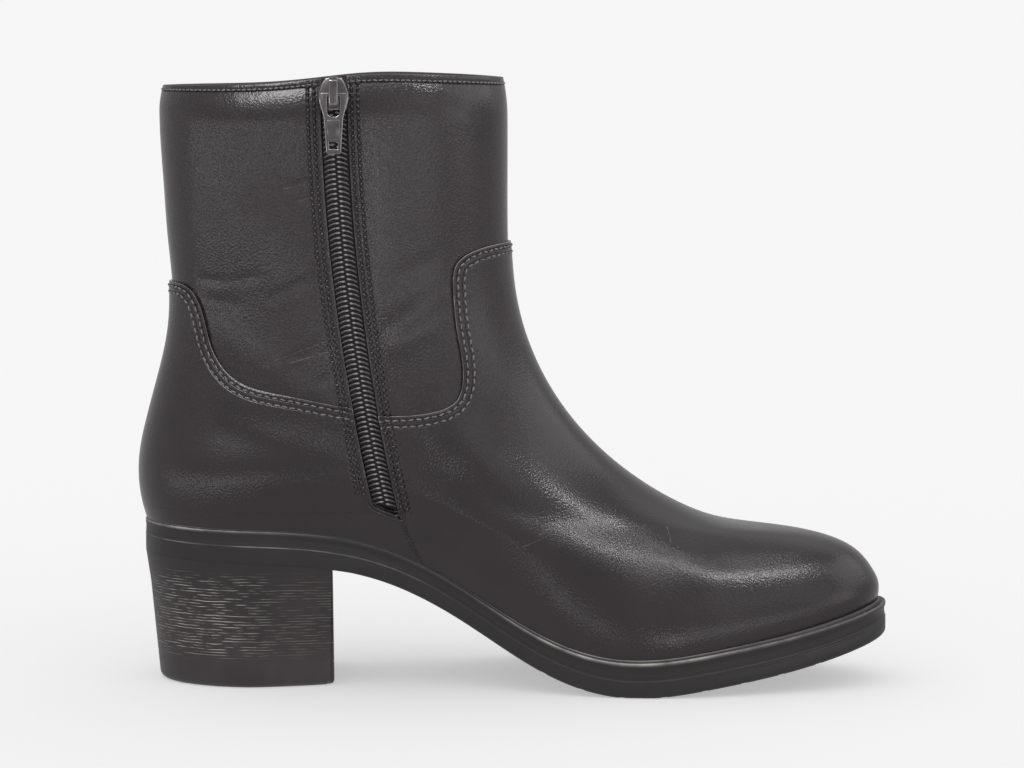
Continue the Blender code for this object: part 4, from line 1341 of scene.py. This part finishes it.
# how much painted highlight its lip gets along the boot: x and share
weltHighlightAlong = ((-131.0, 0.4), (-125.0, 1.0), (-106.0, 1.0), (-94.0, 0.35), (-60.0, 0.06), (-8.0, 0.12), (6.0, 1.0),
           (62.0, 1.0), (85.0, 0.5), (128.0, 0.35))


def soleBottom(x):
    return np.maximum(0.0, soleTop(x) - soleShape["thick"])


def planNormal(angle, turn=0.02):
    along = lastPoint(lastShape["join"], angle + turn) - lastPoint(lastShape["join"], angle - turn)
    return unit(np.stack((along[..., 1], -along[..., 0]), axis=-1))


def ledgeAt(angle):
    return np.interp(lastPoint(lastShape["join"], angle)[..., 0], soleShape["ledgeX"], soleShape["ledge"])


def soleLine(angle, inset):
    # plan of the sole's edge, drawn in by inset
    reach = (ledgeAt(angle) - inset)[..., None]
    return lastPoint(lastShape["join"], angle)[..., :2] + planNormal(angle) * reach


def withHeight(plan, z):
    return np.concatenate((plan, np.broadcast_to(z, plan.shape[:-1])[..., None]), axis=-1)


def aroundSole():
    return np.linspace(0, 2 * math.pi, soleShape["columns"] + 1)


def makeWelt():
    s = weltShape
    angles = aroundSole()
    every = np.ones(angles.shape)
    foot, crown = (offLast(lastShape[level] * every, angles, s["inside"] * every)
                   for level in ("feather", "join"))
    recess = np.interp(crown[:, 0], s["recessX"], s["recess"])
    free = ledgeAt(angles) - panelFace
    insets = [(inset * recess, rise) for inset, rise in weltEdge]
    insets += [(free * share + s["lipInset"] * (1 - share), rise) for share, rise in weltTop]
    rows = [withHeight(foot[:, :2], soleTop(foot[:, 0]) + s["lift"])]
    for inset, rise in insets:
        plan = soleLine(angles, inset)
        floor = soleTop(plan[:, 0]) + s["lift"]
        rows.append(withHeight(plan, floor + (crown[:, 2] - floor) * rise))
    rows += [crown, rows[0]]
    welt = layGrid("rand_welt", np.stack(rows))
    # painted highlight along the welt's lip and bead
    highlightShare = np.zeros((len(rows), len(angles)))
    paleAndLit = np.interp(crown[:, 0], *np.transpose(weltHighlightAlong))
    for row, strength in weltHighlightRows.items():
        highlightShare[row] = strength * paleAndLit
    noteDistance(welt, lipShine=highlightShare)
    editAll(welt, closeSeams, turnOut)
    settle(welt, rubber, "rubber", "welt", sharp=60)


def toMiddle(edge, steps):
    # rows from an edge loop to its middle line, where the two sides meet
    middle = (edge + edge[::-1]) / 2
    return [edge + (middle - edge) * share for share in np.linspace(0, 1, steps + 1)[1:]]


def makeOutsole():
    s = soleShape
    angles = aroundSole()
    x = lastPoint(lastShape["join"], angles)[:, 0]
    rounding = np.interp(x, s["roundX"], s["edgeRound"])
    step = np.interp(x, s["stepX"], s["edgeStep"])
    toe = np.interp(x, s["ridgeX"], (0.0, s["ridge"]))
    lower, upper = [], []
    for turn in np.linspace(0, math.pi / 2, 6):
        plan = soleLine(angles, rounding * (1 - math.sin(turn)))
        lower.append(withHeight(plan, soleBottom(plan[:, 0]) + rounding * (1 - math.cos(turn))))
    # fine ridges round the toe, fading out towards the ball, then the step under the welt
    for inset, drop, hollow in soleEdge:
        plan = soleLine(angles, inset * step + hollow * toe)
        upper.append(withHeight(plan, soleTop(plan[:, 0]) - drop))
    under = reversed(toMiddle(lower[0][:, :2], s["underRows"]))
    over = toMiddle(upper[-1][:, :2], s["overRows"])
    rows = [withHeight(plan, soleBottom(plan[:, 0])) for plan in under]
    rows += lower + upper
    rows += [withHeight(plan, soleTop(plan[:, 0])) for plan in over]
    sole = layGrid("moulded_outsole", np.stack(rows))
    # painted highlight along the outsole's lip
    highlightShare = np.zeros((len(rows), len(angles)))
    highlightShare[s["underRows"] + len(lower) + soleHighlightRow] = np.interp(x, *np.transpose(soleHighlightAlong))
    noteDistance(sole, lipShine=highlightShare)
    editAll(sole, closeSeams, turnOut)
    ribs = [(a + b) / 2 for a, b in zip(s["grooves"], s["grooves"][1:])]
    edge = soleLine(angles, np.zeros(angles.shape))
    for places, size, short in ((s["grooves"], s["nick"], -s["nickLong"]),
                                (s["grooves"], s["groove"], s["grooveShort"]), (ribs, s["rib"], None)):
        cutters = []
        for at in places:
            slope = math.atan2(float(soleBottom(at + 2) - soleBottom(at - 2)), 4.0)
            near = edge[np.abs(edge[:, 0] - at) < s["reach"]][:, 1]
            long = s["ribLength"] if short is None else near.max() - near.min() - 2 * short
            middle = metres((at, (near.max() + near.min()) / 2, float(soleBottom(at))))
            bpy.ops.object.select_all(action="DESELECT")
            bpy.ops.mesh.primitive_cube_add(size=mm, location=middle, rotation=(0, -slope, 0),
                                            scale=(size[0], long, size[1]))
            cutters.append(named("groove"))
        cutOut(sole, joinAs("grooves", *cutters))
    settle(sole, rubber, "rubber", "outsole", sharp=35)


heelShape = {
    "breastX": -62.0,
    "slant": 0.08,  # the breast leans back towards the outer side
    "innerEdge": -26.0,
    "inset": 0.6,
    "backTaper": 4.2,
    "sideTaper": 3.2,
    "breastTaper": 4.0,
    "breastRun": 30.0,
    "cornerRound": 1.3,
    "cornerTurn": 0.015,
    "tipLine": 9.2,  # height of the seam above the heel tip
    "tipGroove": 0.07,
    "footRound": 2.2,
    "seatX": -95.0,  # the heel's height is taken here
    "breastSteps": 30,
}


def makeHeel():
    s = heelShape
    join = ringAt(np.array(lastShape["join"]))
    breast = (s["breastX"] - join["backX"]) / (join["frontX"] - join["backX"])
    reach = math.acos(1 - 2 * float(breast))
    corner = np.linspace(reach, reach - s["cornerTurn"], 10)[:-1]
    wall = np.linspace(reach - s["cornerTurn"], s["cornerTurn"] - reach, 121)
    angles = np.concatenate((corner, wall, -corner[::-1]))
    taper = s["sideTaper"] + (s["backTaper"] - s["sideTaper"]) * np.abs(planNormal(angles)[:, 0])
    bare = soleLine(angles, np.zeros(angles.shape))
    toBreast = np.clip((bare[:, 0] - s["breastX"] + s["breastRun"]) / s["breastRun"], 0, 1)
    taper = taper + s["breastTaper"] * toBreast
    limit = s["breastX"] - s["slant"] * np.maximum(0, bare[:, 1] - s["innerEdge"])
    near = np.clip((bare[:, 0] - limit) / s["cornerRound"] + 1, 0, 1)
    rounded = s["cornerRound"] * (1 - np.sqrt(1 - near ** 2))
    top = float(soleBottom(np.array(s["seatX"])))

    def loop(fall, extra):
        # the heel's outline at a share of its fall to the floor, drawn in by some extra
        plan = soleLine(angles, s["inset"] * min(1.0, 4 * fall) + taper * fall + extra + rounded)
        plan[:, 0] = np.minimum(plan[:, 0], limit)
        plan[[0, -1], 0] = limit[[0, -1]]
        across = np.linspace(plan[-1], plan[0], s["breastSteps"] + 1)[1:]
        plan = np.concatenate((plan, across))
        plan[:, 0] -= extra * np.clip((plan[:, 0] - s["breastX"]) / 6 + 1, 0, 1)
        return withHeight(plan, (soleBottom(plan[:, 0]) + 0.01) * (1 - fall))

    groove = 1 - s["tipLine"] / top
    levels = [(1 - s["footRound"] * (1 - math.cos(t)) / top, s["footRound"] * (1 - math.sin(t)))
              for t in np.linspace(0, math.pi / 2, 7)]
    levels += [(fall, 0.0) for fall in np.linspace(levels[-1][0] - 0.02, groove + 0.012, 5)]
    levels += [(groove, s["tipGroove"])]
    levels += [(fall, 0.0) for fall in np.linspace(groove - 0.012, 0.0, 30)]
    rows = [loop(fall, extra) for fall, extra in levels]
    under = list(reversed(acrossRows(rows[0], len(angles), 8)))
    lid = acrossRows(rows[-1], len(angles), 4)
    heel = layGrid("heel_block", np.stack(under + rows + lid))
    editAll(heel, closeSeams, turnOut)
    settle(heel, stackLook, "heel_stack", "heel", sharp=35)


def acrossRows(loop, curved, steps):
    # rows from the heel's outline to the line between its two long sides
    side = loop[:curved]
    middle = (side + side[::-1]) / 2
    straight = np.linspace(middle[-1], middle[0], len(loop) - curved + 1)[1:]
    target = np.concatenate((middle, straight))
    return [loop + (target - loop) * share for share in np.linspace(0, 1, steps + 1)[1:]]


makeWelt()
makeOutsole()
makeHeel()
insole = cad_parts["insole"]
insole.data.materials.clear()
insole.data.materials.append(lining)
print("sole built")

# Stage: pale floor that rises behind, soft lights and the camera
stageShape = {"colour": "#f3f3f3", "glow": 0.45, "room": 0.65, "half": 6.0, "back": 1.6, "bend": 0.8}
lights = (
    # name, place, aim, width, height, watts
    ("toeSoftbox", (0.574, -0.526, 0.951), (0.09, 0.0, 0.04), 0.12, 0.12, 1.6),
    ("rollSoftbox", (0.33, -0.466, 1.037), (0.055, 0.0, 0.05), 0.1, 0.1, 0.8),
    ("vampSoftbox", (0.367, -0.145, 1.10), (0.04, 0.0, 0.06), 0.1, 0.1, 0.35),
    ("rightSoftbox", (0.78, -0.34, 1.02), (0.02, 0.0, 0.09), 0.4, 0.4, 0.1),
    ("collarSoftbox", (-0.484, -0.70, 0.982), (-0.084, -0.033, 0.204), 0.45, 0.45, 7.0),
    ("collarFill", (0.17, -0.853, 1.05), (-0.05, -0.033, 0.204), 0.2, 0.2, 0.6),
    ("leftFill", (-0.747, -1.04, 0.669), (-0.04, -0.03, 0.12), 0.5, 0.25, 0.24),
    ("rightFill", (0.753, -0.975, 0.669), (-0.04, -0.03, 0.12), 0.5, 0.25, 0.29),
    # four that stand in for the paper's bounce, seen low in the shaft
    ("leftGlow", (-2.16, -2.134, -0.257), (-0.06, -0.034, 0.16), 4.3, 0.24, 14.0),
    ("frontGlow", (0.467, -1.947, -0.113), (-0.045, -0.034, 0.165), 0.44, 0.16, 1.3),
    ("sideGlow", (0.724, -1.136, 0.08), (-0.05, -0.03, 0.14), 0.55, 0.2, 0.55),
    ("rightGlow", (1.172, -0.6, 0.3), (-0.05, -0.03, 0.14), 0.55, 0.4, 0.7),
    ("sideSoftbox", (1.024, 0.035, 0.761), (0.03, 0.0, 0.09), 1.05, 0.55, 1.8),
    ("backSoftbox", (0.505, 0.542, 1.15), (0.05, 0.0, 0.06), 0.7, 0.6, 0.55),
)
cameraShape = {
    "place": (0.0, -1.2, 0.226),
    "pitch": 5.85,
    "focalPixels": 3444.0,
    "imageWidth": 1024,
    "sensor": 36.0,
}


def makeStage():
    s = stageShape
    profile = [(-s["half"], 0.0), (s["back"], 0.0)]
    for turn in np.linspace(0, math.pi / 2, 12)[1:]:
        profile.append((s["back"] + s["bend"] * math.sin(turn), s["bend"] * (1 - math.cos(turn))))
    profile.append((s["back"] + s["bend"], s["half"]))
    points = np.array([[(x, y, z) for x in (-s["half"], s["half"])] for y, z in profile])
    floor = layGrid("pale_floor", points / mm - np.array(lastShape["centre"]))
    pickOnly(floor)
    bpy.ops.object.shade_smooth()
    # matt seamless paper: pale and even, glowing a little so that it burns out as in the photo
    paper = hexColour(s["colour"])
    look = newLook("paleBackdrop", Base_Color=paper, Roughness=0.9, Specular_IOR_Level=0.0,
                   Emission_Color=paper, Emission_Strength=s["glow"])[0]
    floor.data.materials.append(look)
    floor.visible_diffuse = False  # the boot sees the room all round, not the bright paper
    floor.visible_glossy = False
    scene = bpy.context.scene
    scene.world = bpy.data.worlds.new("softRoom")
    scene.world.use_nodes = True
    room = scene.world.node_tree.nodes["Background"]
    room.inputs["Color"].default_value = paper
    room.inputs["Strength"].default_value = s["room"]
    scene.view_settings.view_transform = "Standard"


def aimed(thing, place, aim):
    away = np.array(aim) - np.array(place)
    flat = math.hypot(away[0], away[1])
    thing.location = place
    thing.rotation_euler = (math.pi / 2 + math.atan2(away[2], flat), 0, math.atan2(-away[0], away[1]))


def makeLights():
    for name, place, aim, width, height, watts in lights:
        bpy.ops.object.light_add(type="AREA")
        lamp = named(name)
        lamp.data.shape = "RECTANGLE"
        lamp.data.size = width
        lamp.data.size_y = height
        lamp.data.energy = watts
        lamp.visible_diffuse = False  # they only draw the gloss; the room lights the rest
        aimed(lamp, place, aim)


def makeCamera():
    c = cameraShape
    bpy.ops.object.camera_add(location=c["place"], rotation=(math.pi / 2 - math.radians(c["pitch"]), 0, 0))
    camera = named("photoCamera")
    camera.data.sensor_width = c["sensor"]
    camera.data.lens = c["focalPixels"] * c["sensor"] / c["imageWidth"]
    bpy.context.scene.camera = camera


makeStage()
makeLights()
makeCamera()
print("stage set")
